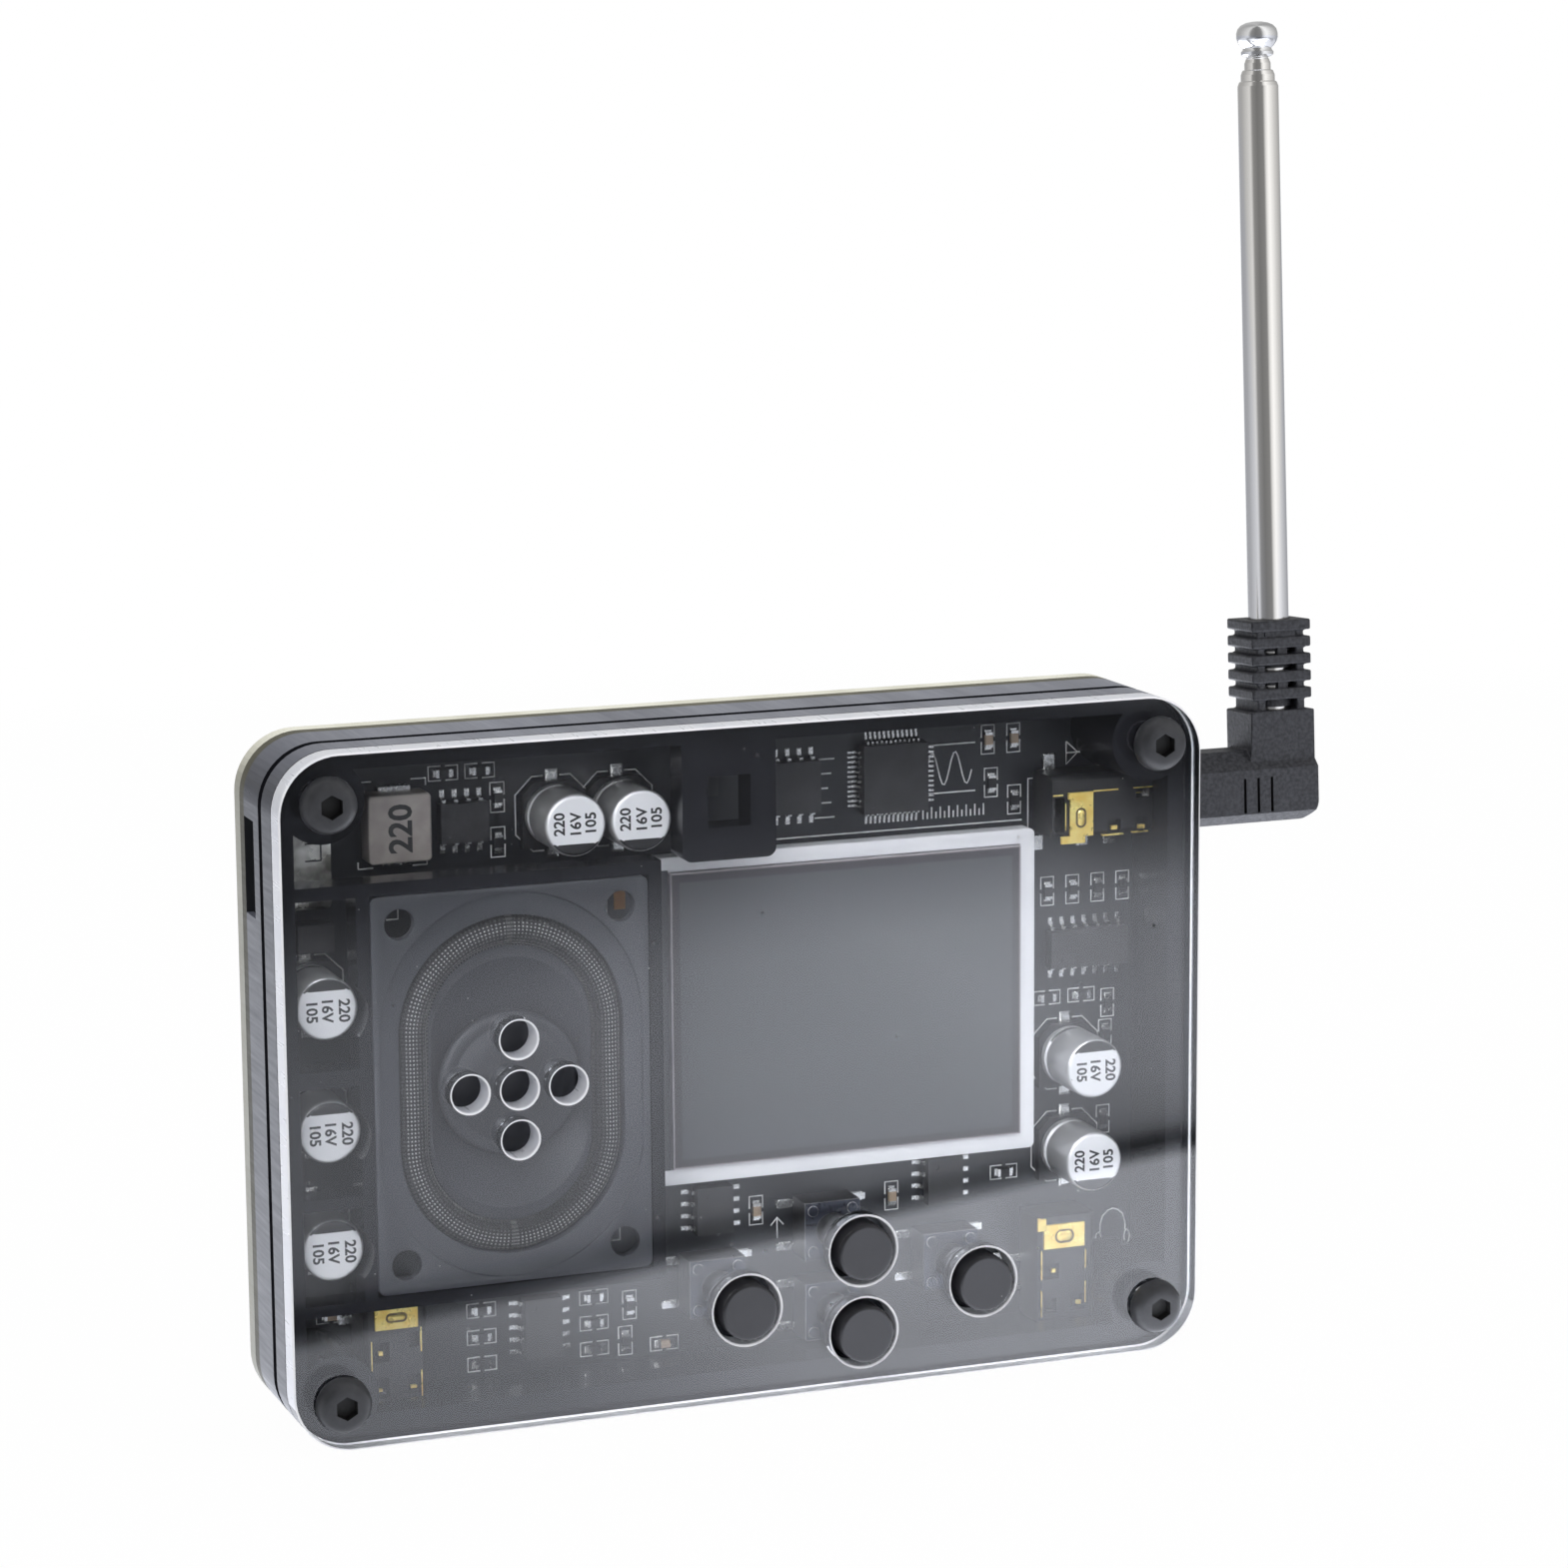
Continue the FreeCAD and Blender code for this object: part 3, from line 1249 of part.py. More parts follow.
def chip(label, width, height, dimple, spots):
    """Moulded chips of one kind, each with its index dimple, at their places on the board."""
    body = new_body(label + "_pattern")
    sketch = new_sketch(body)
    draw_rectangle(sketch, -width / 2, width / 2, -height / 2, height / 2)
    pad(body, sketch, chip_thick, backwards=False)
    mark = new_sketch(body, offset=chip_thick)
    side_x, side_z = dimple
    draw_circle(mark, side_x * (width / 2 - 3 * dimple_radius),
                side_z * (height / 2 - 3 * dimple_radius), dimple_radius)
    pocket(body, mark, dimple_depth)
    keep(copies(label, body, [(x, board_front - chip_standoff, z, FACING) for x, z in spots]))


def add_leads(pattern, spot, half_span, count, pitch, sides):
    """Rows of leads on the named sides: 0 right, 90 top, 180 left and 270 bottom."""
    x, z = spot
    for side in sides:
        out_x = round(math.cos(math.radians(side)))
        out_z = round(math.sin(math.radians(side)))
        for index in range(count):
            step = (index - (count - 1) / 2) * pitch
            place = FreeCAD.Placement(
                FreeCAD.Vector((x + out_x * half_span + out_z * step).number, board_front.number,
                               (z + out_z * half_span + out_x * step).number), turned_by(side))
            lead = pattern.Shape.copy()
            lead.Placement = place
            leads.append(lead)


chip("regulator_chip", soic_long, soic_wide, (-1, -1), [regulator_spot])
chip("memory_chip", soic_long, memory_wide, (-1, -1), [memory_spot])
chip("mixer_chip", mixer_long, soic_wide, (-1, -1), [mixer_spot])
chip("amplifier_chip", soic_wide, amplifier_long, (-1, 1), [amplifier_spot])
chip("comparator_chips", soic_wide, soic_long, (-1, 1), comparator_spots)
chip("processor_chip", processor_side, processor_side, (-1, -1), [processor_spot])
doc.recompute()
UP_DOWN = (90, 270)
LEFT_RIGHT = (0, 180)
add_leads(soic_lead, regulator_spot, soic_wide / 2, 4, chip_pitch, UP_DOWN)
add_leads(soic_lead, memory_spot, memory_wide / 2, 4, chip_pitch, UP_DOWN)
add_leads(soic_lead, mixer_spot, soic_wide / 2, 7, chip_pitch, UP_DOWN)
add_leads(soic_lead, amplifier_spot, soic_wide / 2, 5, chip_pitch, LEFT_RIGHT)
for spot in comparator_spots:
    add_leads(soic_lead, spot, soic_wide / 2, 4, chip_pitch, LEFT_RIGHT)
add_leads(fine_lead, processor_spot, processor_side / 2, 12, fine_pitch, UP_DOWN + LEFT_RIGHT)
chip_leads = doc.addObject("Part::Feature", "chip_leads")
chip_leads.Shape = Part.makeCompound(leads)
keep(chip_leads, "chip_leads")

# Two-ended chip parts: upright or lying, in short rows beside the chips that they serve.


def beside(neighbour, across, up, count=1, step_x=0, step_z=0):
    """A row of places measured from the middle of the chip or part that the row serves."""
    x, z = neighbour
    return [(x + across + index * step_x, z + up + index * step_z) for index in range(count)]


upper_right_can = (can_right_x, can_right_z)
back_button = button_spots["back"]
display_corner = (tray_right, tray_top)
lying_resistors = (
    beside(regulator_spot, -1.7, 4.85, 2, step_x=3.75)
    + beside(mixer_spot, -4.15, -5.3, 2, step_x=3.9)
    + beside(right_comparator_spot, 7.2, -0.15)
    + beside(amplifier_spot, -6.1, 2.2, 3, step_z=-2.8)
    + beside(amplifier_spot, 5.8, 2.2, 3, step_z=-2.7))
upright_resistors = (
    beside(regulator_spot, 3.8, 2.05, 2, step_z=-4.5)
    + beside(display_corner, -3.75, 4.6, 2, step_x=2.6, step_z=-1.95)
    + beside(mixer_spot, -4.15, 6.0, 4, step_x=2.85)
    + beside(upper_right_can, 4.9, 4.95, 2, step_x=-0.25, step_z=-3.3)
    + beside(upper_right_can, 4.45, -7.55)
    + beside(back_button, -8.3, -1.85, 2, step_x=-0.5, step_z=-3.7))
upright_capacitors = (
    beside(display_corner, -4.1, 9.1, 2, step_x=2.85)
    + beside(left_comparator_spot, 4.95, -0.85)
    + beside(right_comparator_spot, -5.45, -1.4))
lying_capacitors = (
    beside(back_button, -4.6, -6.3)
    + beside((line_jack_x, screw_low), -5.2, 5.2))

middle_pattern = box("part_middle", (-part_length / 2 + part_end, part_length / 2 - part_end),
                     (-part_thick, 0), (-part_width / 2, part_width / 2))
end_pattern = doc.addObject("Part::Compound", "part_ends")
end_pattern.Links = [
    box("part_end", span, (-part_thick, 0), (-part_width / 2, part_width / 2))
    for span in ((-part_length / 2, -part_length / 2 + part_end),
                 (part_length / 2 - part_end, part_length / 2))]
doc.recompute()


def chip_parts(label, pattern, lying, upright):
    """Copies of a two-ended part's piece about the part's own middle."""
    shapes = []
    for spots, rotation in ((lying, FACING), (upright, turned_by(90))):
        for x, z in spots:
            place = FreeCAD.Placement(
                FreeCAD.Vector(x.number, board_front.number, z.number), rotation)
            for solid in pattern.Shape.Solids:
                shapes.append(solid.transformGeometry(place.toMatrix()))
    item = doc.addObject("Part::Feature", label)
    item.Shape = Part.makeCompound(shapes)
    item.Label = label
    return keep(item)


chip_parts("chip_resistors", middle_pattern, lying_resistors, upright_resistors)
chip_parts("chip_capacitors", middle_pattern, lying_capacitors, upright_capacitors)
chip_parts("chip_part_ends", end_pattern, lying_resistors + lying_capacitors,
           upright_resistors + upright_capacitors)

# The protection diode in the upper left window and the distance sensor under the tab's window.
keep(box("protection_diode", (diode_x - diode_width / 2, diode_x + diode_width / 2),
         (board_front - diode_thick, board_front),
         (diode_z - diode_height / 2, diode_z + diode_height / 2)))
keep(box("distance_sensor", (tab_x - sensor_width / 2, tab_x + sensor_width / 2),
         (board_front - sensor_thick, board_front),
         (tab_window_z - sensor_height / 2, tab_window_z + sensor_height / 2)))

# ================================================================ the plug and the aerial
# The plug's parts are drawn upright about the axis of its pin, then leaned back together.

RIB_COUNT = 5
LEANED = (X_AXIS, -aerial_lean)
boot_left = half_width + plug_gap
boot_right = aerial_x + elbow_half
pin_tip = boot_left - pin_length
pin_radius = jack_bore_radius - pin_gap

# The pin is turned with the groove and the cone that a jack's spring grips.
pin = turned("plug_pin", [
    (0, 0), (pin_radius, 0), (pin_radius, pin_length - groove_from_tip),
    (pin_radius - groove_depth, pin_length - groove_from_tip + groove_depth),
    (pin_radius, pin_length - cone_from_tip - groove_depth),
    (pin_radius, pin_length - cone_from_tip),
    (pin_end_radius, pin_length), (0, pin_length)])
put(pin, boot_left, jack_axis_y, antenna_jack_z, (Y_AXIS, -90))
keep(pin)

boot = new_body("plug_boot")
barrel = new_sketch(boot, "YZ_Plane", boot_left)
draw_polygon(barrel, [
    (-barrel_half, -barrel_below + barrel_low_chamfer),
    (-barrel_half + barrel_low_chamfer, -barrel_below),
    (barrel_half - barrel_low_chamfer, -barrel_below),
    (barrel_half, -barrel_below + barrel_low_chamfer),
    (barrel_half, barrel_above - barrel_top_chamfer),
    (barrel_half - barrel_top_chamfer, barrel_above),
    (-barrel_half + barrel_top_chamfer, barrel_above),
    (-barrel_half, barrel_above - barrel_top_chamfer)])
pad(boot, barrel, boot_right - boot_left, backwards=False)
soften(boot, "Fillet", elbow_radius,
       lambda edge: edge.BoundBox.XMin > boot_right.number - 1e-4
       and edge.BoundBox.ZMax < -barrel_below.number + 1e-4)
elbow = new_sketch(boot, "XY_Plane")
draw_rectangle(elbow, aerial_x - elbow_half, boot_right, -elbow_depth / 2, elbow_depth / 2)
pad(boot, elbow, elbow_top, backwards=False)
core = new_sketch(boot, "XY_Plane", elbow_top)
draw_rectangle(core, aerial_x - core_width / 2, aerial_x + core_width / 2,
               -core_width / 2, core_width / 2)
rib_top = first_rib_rise + (RIB_COUNT - 1) * rib_pitch + rib_thick
pad(boot, core, rib_top - elbow_top, backwards=False)
for index in range(RIB_COUNT):
    rib = new_sketch(boot, "XY_Plane", first_rib_rise + index * rib_pitch)
    draw_rectangle(rib, aerial_x - rib_width / 2, aerial_x + rib_width / 2,
                   -rib_depth / 2, rib_depth / 2)
    pad(boot, rib, rib_thick, backwards=False)
slots = new_sketch(boot, offset=core_width)
slot_rise = rib_pitch - rib_thick
draw_rectangle(slots, aerial_x - slot_width / 2, aerial_x + slot_width / 2, elbow_top, first_rib_rise)
for index in range(RIB_COUNT - 1):
    low = first_rib_rise + index * rib_pitch + rib_thick
    draw_rectangle(slots, aerial_x - slot_width / 2, aerial_x + slot_width / 2,
                   low, low + slot_rise)
pocket(boot, slots)
socket = new_sketch(boot, "XY_Plane", tube_foot)
draw_circle(socket, aerial_x, 0, tube_radius + boot_fit)
pocket(boot, socket, backwards=False)
grips = new_sketch(boot, offset=barrel_half)
for step in (-1, 0, 1):
    groove_x = aerial_x - grip_offset + step * grip_pitch
    draw_rectangle(grips, groove_x - grip_width / 2, groove_x + grip_width / 2,
                   grip_low, grip_high)
pocket(boot, grips, grip_depth)
put(boot, 0, jack_axis_y, antenna_jack_z, LEANED)
keep(boot)


def aerial_piece(label, profile):
    """A turned piece on the aerial's leaning axis, drawn upright at the aerial's X."""
    piece = turned(label, profile)
    put(piece, aerial_x, jack_axis_y, antenna_jack_z, LEANED)
    return keep(piece)


def drawn_tube(label, outer, bore_radius, low, high):
    """A thin tube with its mouth rolled over a little."""
    return aerial_piece(label, [
        (bore_radius, low), (outer, low), (outer, high - mouth_roll),
        (outer - mouth_roll * 0.3, high - mouth_roll * 0.2),
        (outer - mouth_roll * 0.5, high), (bore_radius, high)])


second_top = tube_top + second_lip
third_top = second_top + third_lip
drawn_tube("antenna_tube", tube_radius, second_radius + tube_gap, tube_foot, tube_top)
drawn_tube("antenna_section_two", second_radius, third_radius + tube_gap,
           tube_foot + nest_step, second_top)
drawn_tube("antenna_section_three", third_radius, rod_radius + tube_gap,
           tube_foot + 2 * nest_step, third_top)
collar_low = third_top + rod_neck
ball_low = collar_low + collar_height
ball_top = ball_low + ball_height
aerial_piece("antenna_tip", [
    (0, tube_foot + 3 * nest_step), (rod_radius, tube_foot + 3 * nest_step),
    (rod_radius, collar_low), (collar_radius, collar_low + collar_edge),
    (collar_radius, ball_low - collar_edge), (collar_radius - 2 * collar_edge, ball_low),
    (ball_radius, ball_low + ball_height * 0.25),
    (ball_radius, ball_low + ball_height * 0.6),
    (ball_radius * 0.75, ball_low + ball_height * 0.87),
    (ball_radius * 0.35, ball_top), (0, ball_top)])

# ================================================================ check and write

doc.recompute()
for item in doc.Objects:
    if "Invalid" in item.State or "Error" in item.State:
        raise RuntimeError(f"{item.Label} failed: {item.State}")
for item in nodes:
    if item.Shape.isNull() or not item.Shape.isValid() or not item.Shape.Solids:
        raise RuntimeError(f"{item.Label} has no sound solid")

os.makedirs("parts", exist_ok=True)
for item in nodes:
    item.Shape.exportStep(f"parts/{item.Label}.step")
print(len(nodes), "nodes written")
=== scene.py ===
import math

import bmesh
import bpy
from mathutils import Matrix, Vector


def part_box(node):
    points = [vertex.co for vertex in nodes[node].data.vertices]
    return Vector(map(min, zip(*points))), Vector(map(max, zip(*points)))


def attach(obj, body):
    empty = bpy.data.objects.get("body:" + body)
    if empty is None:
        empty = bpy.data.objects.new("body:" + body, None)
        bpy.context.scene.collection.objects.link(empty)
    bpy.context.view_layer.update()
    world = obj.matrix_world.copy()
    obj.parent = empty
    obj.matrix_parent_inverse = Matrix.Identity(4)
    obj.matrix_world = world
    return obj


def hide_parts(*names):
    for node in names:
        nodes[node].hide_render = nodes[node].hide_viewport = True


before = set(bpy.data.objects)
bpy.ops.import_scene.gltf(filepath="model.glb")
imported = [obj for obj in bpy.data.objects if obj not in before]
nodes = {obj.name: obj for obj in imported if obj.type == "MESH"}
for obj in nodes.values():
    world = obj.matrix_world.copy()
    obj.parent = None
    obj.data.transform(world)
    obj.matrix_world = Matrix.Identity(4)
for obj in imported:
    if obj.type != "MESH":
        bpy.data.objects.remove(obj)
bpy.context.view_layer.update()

MM = 0.001

# -------- camera
# It stands to the left of the theremin and a little above it, and looks slightly down at its
# front. Its place and its turn are given as they are, in metres.

camera_data = bpy.data.cameras.new("view")
camera_data.sensor_fit = "HORIZONTAL"
camera_data.angle = math.radians(19.482838)
camera_data.clip_start = 0.01
camera_right = Vector((0.93393261, -0.35736965, -0.00753674))
camera_up = Vector((0.07052026, 0.16354194, 0.98401267))
camera_ahead = Vector((0.35042369, 0.91953302, -0.17793895))
camera = bpy.data.objects.new("view", camera_data)
camera_place = Matrix((camera_right, camera_up, -camera_ahead)).transposed().to_4x4()
camera_place.translation = Vector((-0.1539037, -0.4196446, 0.1419822))
camera.matrix_world = camera_place
bpy.context.scene.collection.objects.link(camera)
bpy.context.scene.camera = camera
bpy.context.scene.view_settings.view_transform = "Standard"

# -------- room and lamps
# A white room. Shiny parts see a paler room behind them, and a darker one with two tall white
# panels before them, at their left. The lamps are large and soft and hang above eye level.


def node(tree, kind, values=None, **settings):
    """A shader node with its settings; its inputs get values or are linked to sockets."""
    made = tree.nodes.new("ShaderNode" + kind)
    for label, setting in settings.items():
        setattr(made, label, setting)
    for label, value in (values or {}).items():
        if isinstance(value, bpy.types.NodeSocket):
            tree.links.new(value, made.inputs[label])
        else:
            made.inputs[label].default_value = value
    return made


def math_node(tree, operation, *values):
    """The output of a Math node whose inputs are numbers or sockets."""
    return node(tree, "Math", dict(enumerate(values)), operation=operation).outputs[0]


def vector_node(tree, operation, *values):
    """The output of a Vector Math node whose inputs are vectors or sockets."""
    made = node(tree, "VectorMath", dict(enumerate(values)), operation=operation)
    return made.outputs["Value" if operation in ("DOT_PRODUCT", "LENGTH") else "Vector"]


def smooth_step(tree, value, begin, end):
    """A value that goes smoothly from 0 to 1 between two limits."""
    return node(tree, "MapRange", {"Value": value, "From Min": begin, "From Max": end},
                interpolation_type="SMOOTHSTEP").outputs["Result"]


def ramp_node(tree, factor, stops):
    """The colour of a ramp with (place, grey or colour) stops."""
    ramp = node(tree, "ValToRGB", {"Fac": factor})
    elements = ramp.color_ramp.elements
    while len(elements) < len(stops):
        elements.new(0.5)
    for element, (place, tone) in zip(elements, stops):
        element.position = place
        element.color = (tone, tone, tone, 1) if isinstance(tone, (int, float)) else (*tone, 1)
    return ramp.outputs["Color"]


def choose_colour(tree, factor, first, second):
    """Mix two colours, each a socket or an (r, g, b)."""
    values = {"Factor": factor}
    for label, colour in (("A", first), ("B", second)):
        values[label] = (*colour, 1) if isinstance(colour, tuple) else colour
    return node(tree, "Mix", values, data_type="RGBA").outputs["Result"]


def panels_round(tree, direction):
    """How bright the room is all round, by the heading of a direction."""
    to_right, to_front = (0.934, -0.357, 0), (-0.357, -0.934, 0)
    heading = math_node(tree, "ARCTAN2", vector_node(tree, "DOT_PRODUCT", direction, to_right),
                        vector_node(tree, "DOT_PRODUCT", direction, to_front))
    return ramp_node(tree, math_node(tree, "MULTIPLY_ADD", heading, 1 / (2 * math.pi), 0.5), [
        (0.0, 0.62), (0.10, 0.46), (0.19, 0.50), (0.29, 0.72), (0.345, 0.86), (0.385, 0.32),
        (0.46, 0.22), (0.555, 0.28), (0.592, 0.95), (0.635, 1.25), (0.675, 1.1), (0.75, 0.78),
        (0.86, 0.50), (0.93, 0.42), (1.0, 0.62)])


room = bpy.data.worlds.new("white_room")
bpy.context.scene.world = room
room.use_nodes = True
tree = room.node_tree
direction = node(tree, "TexCoord").outputs["Generated"]
upper_left = vector_node(tree, "DOT_PRODUCT", direction, (-0.50, -0.52, 0.69))
panel = ramp_node(tree, upper_left, [
    (0.0, (0.24, 0.25, 0.28)), (0.74, (0.30, 0.31, 0.34)), (0.84, (7.4, 7.45, 7.6)),
    (1.0, (8.0, 8.05, 8.2))])
path = node(tree, "LightPath").outputs
behind = math_node(tree, "GREATER_THAN",
                   vector_node(tree, "DOT_PRODUCT", direction, (0, 1, 0)), 0.0)
through = path["Is Transmission Ray"]
plain = math_node(tree, "MAXIMUM", path["Is Camera Ray"],
                  math_node(tree, "MULTIPLY", through, behind))
tone = choose_colour(tree, path["Is Glossy Ray"], (0.42, 0.42, 0.43),
                     panels_round(tree, direction))
tone = choose_colour(tree, through, tone, panel)
tone = choose_colour(tree, plain, tone, (1.0, 1.0, 1.0))
tree.links.new(tone, tree.nodes["Background"].inputs["Color"])

for name, place, width, watts in (("lamp_left", (-0.75, -0.75, 0.75), 0.6, 4.2),
                                  ("lamp_right", (0.8, -0.7, 0.55), 0.6, 3.2),
                                  ("lamp_above", (0.05, 0.15, 1.0), 0.7, 3.0)):
    data = bpy.data.lights.new(name, "AREA")
    data.size = width
    data.energy = watts
    lamp = bpy.data.objects.new(name, data)
    lamp.location = place
    toward = Vector((0, 0, 0.05)) - Vector(place)
    lamp.rotation_euler = toward.to_track_quat("-Z", "Y").to_euler()
    lamp.visible_glossy = False
    bpy.context.scene.collection.objects.link(lamp)

# -------- floor
# A pale, matt table top that the theremin stands on. For reflected rays and rays through glass it
# glows in a painted reflection of a bright sheet, which the camera doesn't see: its near part is
# brightest, a dark seam crosses it, and it fades to the front and sides.


def choose(piece=None):
    """Deselect everything, then select one piece and make it active."""
    if bpy.context.object and bpy.context.object.mode != "OBJECT":
        bpy.ops.object.mode_set(mode="OBJECT")
    bpy.ops.object.select_all(action="DESELECT")
    if piece:
        piece.select_set(True)
        bpy.context.view_layer.objects.active = piece


def start(name, operator, **how):
    """Add one primitive with an operator, name it and apply its place."""
    choose()
    operator(**how)
    piece = bpy.context.object
    piece.name = name
    piece.data.name = name
    if piece.type == "MESH":
        bpy.ops.object.transform_apply(location=True, rotation=True, scale=True)
    return piece


def new_material(name):
    """A material with its node tree and its Principled shader."""
    material = bpy.data.materials.new(name)
    material.use_nodes = True
    return material, material.node_tree, material.node_tree.nodes["Principled BSDF"]


floor = start("table_top", bpy.ops.mesh.primitive_plane_add, size=6, location=(0, 0, -0.05 * MM))
table_finish, tree, shader = new_material("pale_table")
tree.nodes.remove(shader)
place = node(tree, "TexCoord").outputs["Object"]
spot = node(tree, "SeparateXYZ", {0: place}).outputs
path = node(tree, "LightPath").outputs
through = path["Is Transmission Ray"]
# Painted reflection: how brightly the table glows for reflected rays, by place on the table.
seam_slope, seam_front = 0.27, 0.0597
across = math_node(tree, "MULTIPLY_ADD", spot["X"], 3.33, 0.333)
seam = math_node(tree, "MULTIPLY_ADD", spot["X"], seam_slope, seam_front)
beyond = math_node(tree, "MULTIPLY", math_node(tree, "ADD", spot["Y"], seam), -1)
reach = math_node(tree, "MULTIPLY_ADD", beyond, 2.0, 0.2)
near_tilt = math_node(tree, "MULTIPLY_ADD", across, -0.0235, 0.0143)
near_reach = math_node(tree, "ADD", reach, near_tilt)
near_sheen = ramp_node(tree, near_reach, [(0.0, 1.35), (0.192, 1.35), (0.200, 0.05), (1.0, 0.05)])
far_sheen = ramp_node(tree, reach, [
    (0.0, 0.05), (0.207, 0.05), (0.213, 0.18), (0.218, 0.40), (0.226, 0.52), (0.24, 0.61),
    (0.26, 0.67), (0.295, 0.70), (0.333, 0.72), (0.40, 0.66), (0.44, 0.60),
    (0.48, 0.43), (0.53, 0.23), (0.58, 0.085), (0.65, 0.03), (0.9, 0.02)])
near_side = ramp_node(tree, across, [
    (0.13, 1.4), (0.20, 1.7), (0.27, 1.9), (0.31, 2.4), (0.36, 3.2), (0.45, 3.65), (0.63, 3.75),
    (0.74, 1.0), (1, 0.8)])
far_side = ramp_node(tree, across, [
    (0.13, 2.3), (0.25, 2.15), (0.33, 2.15), (0.42, 2.7), (0.48, 3.1), (0.54, 3.4), (0.6, 3.9),
    (0.65, 4.5), (0.82, 4.5), (0.9, 3.2), (1, 2.6)])
sideways = choose_colour(tree, math_node(tree, "GREATER_THAN", reach, 0.2), near_side, far_side)
sheen = math_node(tree, "MAXIMUM", near_sheen, far_sheen)
seen_through = math_node(tree, "MULTIPLY_ADD", through, -0.7, 1.0)
sheen = math_node(tree, "MULTIPLY", math_node(tree, "MULTIPLY", sheen, sideways), seen_through)
# Away from its middle the painted reflection turns to an even grey.
sheen_middle, sheen_half, sheen_end = 0.07, 0.15, 0.27
off_middle = math_node(tree, "ABSOLUTE", math_node(tree, "SUBTRACT", spot["X"], sheen_middle))
sheen = choose_colour(tree, smooth_step(tree, off_middle, sheen_half, sheen_end), sheen,
                      (0.5, 0.5, 0.5))
behind = math_node(tree, "GREATER_THAN", spot["Y"], 0.012)
sheen = math_node(tree, "MAXIMUM", sheen, math_node(tree, "MULTIPLY", behind, 0.88))
from_aerial = vector_node(tree, "SUBTRACT", place, (0.0616, 0.0023, 0))
outer = smooth_step(tree, vector_node(tree, "LENGTH", from_aerial), 0.40, 0.47)
sheen = choose_colour(tree, outer, sheen, panels_round(tree, from_aerial))
plain = math_node(tree, "MULTIPLY", path["Is Camera Ray"],
                  math_node(tree, "MULTIPLY_ADD", outer, 0.02, 0.98))
table_matt = node(tree, "BsdfDiffuse", {"Color": (0.86, 0.86, 0.86, 1)})
table_white = node(tree, "Emission", {"Color": (1, 1, 1, 1)})
table_sheen = node(tree, "Emission", {"Color": (0.94, 0.97, 1.06, 1), "Strength": sheen})
mix_white = node(tree, "MixShader", {"Fac": plain, 1: table_matt.outputs[0],
                                     2: table_white.outputs[0]})
mix_sheen = node(tree, "MixShader", {
    "Fac": math_node(tree, "MAXIMUM", path["Is Glossy Ray"], through),
    1: mix_white.outputs[0], 2: table_sheen.outputs[0]})
tree.links.new(mix_sheen.outputs[0], tree.nodes["Material Output"].inputs["Surface"])
floor.data.materials.append(table_finish)

# -------- clear front plate
# A 3 mm sheet of clear acrylic, cut by laser and held by the four screws. Its faces are
# polished and carry fine dust, and its outer edge and the walls of its holes are frosted. Its
# chamfers are opaque white, partly the frosted cut and partly a painted highlight; its bottom
# wall is opaque grey, painted light from the table; seen from inside, its cut walls are dark
# glass, painted shade.


def new_group(name, inputs, outputs):
    """An empty shader group; returns the tree, its entry's sockets and its exit's sockets."""
    group = bpy.data.node_groups.new(name, "ShaderNodeTree")
    for label, kind, value in inputs:
        socket = group.interface.new_socket(label, in_out="INPUT", socket_type="NodeSocket" + kind)
        socket.default_value = value
    for label, kind in outputs:
        group.interface.new_socket(label, in_out="OUTPUT", socket_type="NodeSocket" + kind)
    entry, exit_node = group.nodes.new("NodeGroupInput"), group.nodes.new("NodeGroupOutput")
    return group, entry.outputs, exit_node.inputs


dust_group, given, result = new_group(
    "dust_specks", [("Scale", "Float", 700.0), ("Size", "Float", 0.06), ("Share", "Float", 0.1)],
    [("Mask", "Float")])
tree = dust_group
cells = node(tree, "TexVoronoi", {"Vector": node(tree, "TexCoord").outputs["Object"],
                                  "Scale": given["Scale"]}).outputs
cell_tone = node(tree, "SeparateColor", {"Color": cells["Color"]}).outputs
speck = math_node(tree, "LESS_THAN", cells["Distance"], given["Size"])
rare = math_node(tree, "LESS_THAN", cell_tone["Red"], given["Share"])
tree.links.new(math_node(tree, "MULTIPLY", speck, rare), result["Mask"])

surface_group, given, result = new_group(
    "worked_surface",
    [("Colour", "Color", (0.5, 0.5, 0.5, 1)), ("Second Colour", "Color", (0.5, 0.5, 0.5, 1)),
     ("Tone Scale", "Float", 80.0), ("Grain Scale", "Float", 2000.0),
     ("Grain Depth", "Float", 0.1), ("Roughness", "Float", 0.4),
     ("Roughness Spread", "Float", 0.1), ("Stretch", "Vector", (1.0, 1.0, 1.0)),
     ("Dust", "Float", 0.0)],
    [("Colour", "Color"), ("Roughness", "Float"), ("Normal", "Vector"), ("Grain", "Float")])
tree = surface_group
stretched = vector_node(tree, "MULTIPLY", node(tree, "TexCoord").outputs["Object"],
                        given["Stretch"])
tone = node(tree, "TexNoise", {"Vector": stretched, "Scale": given["Tone Scale"],
                               "Detail": 3}).outputs["Fac"]
grain = node(tree, "TexNoise", {"Vector": stretched, "Scale": given["Grain Scale"],
                                "Detail": 4}).outputs["Fac"]
tone_step = node(tree, "MapRange", {"Value": tone, "From Min": 0.35, "From Max": 0.65})
mixed = choose_colour(tree, tone_step.outputs["Result"], given["Colour"], given["Second Colour"])
specks = node(tree, "Group", node_tree=dust_group).outputs["Mask"]
dusted = choose_colour(tree, math_node(tree, "MULTIPLY", specks, given["Dust"]), mixed,
                       (0.6, 0.6, 0.6))
spread = math_node(tree, "MULTIPLY", math_node(tree, "SUBTRACT", grain, 0.5),
                   given["Roughness Spread"])
bump = node(tree, "Bump", {"Distance": 0.05 * MM, "Height": grain,
                           "Strength": given["Grain Depth"]})
for label, socket in (("Colour", dusted), ("Normal", bump.outputs["Normal"]), ("Grain", grain),
                      ("Roughness", math_node(tree, "ADD", given["Roughness"], spread))):
    tree.links.new(socket, result[label])


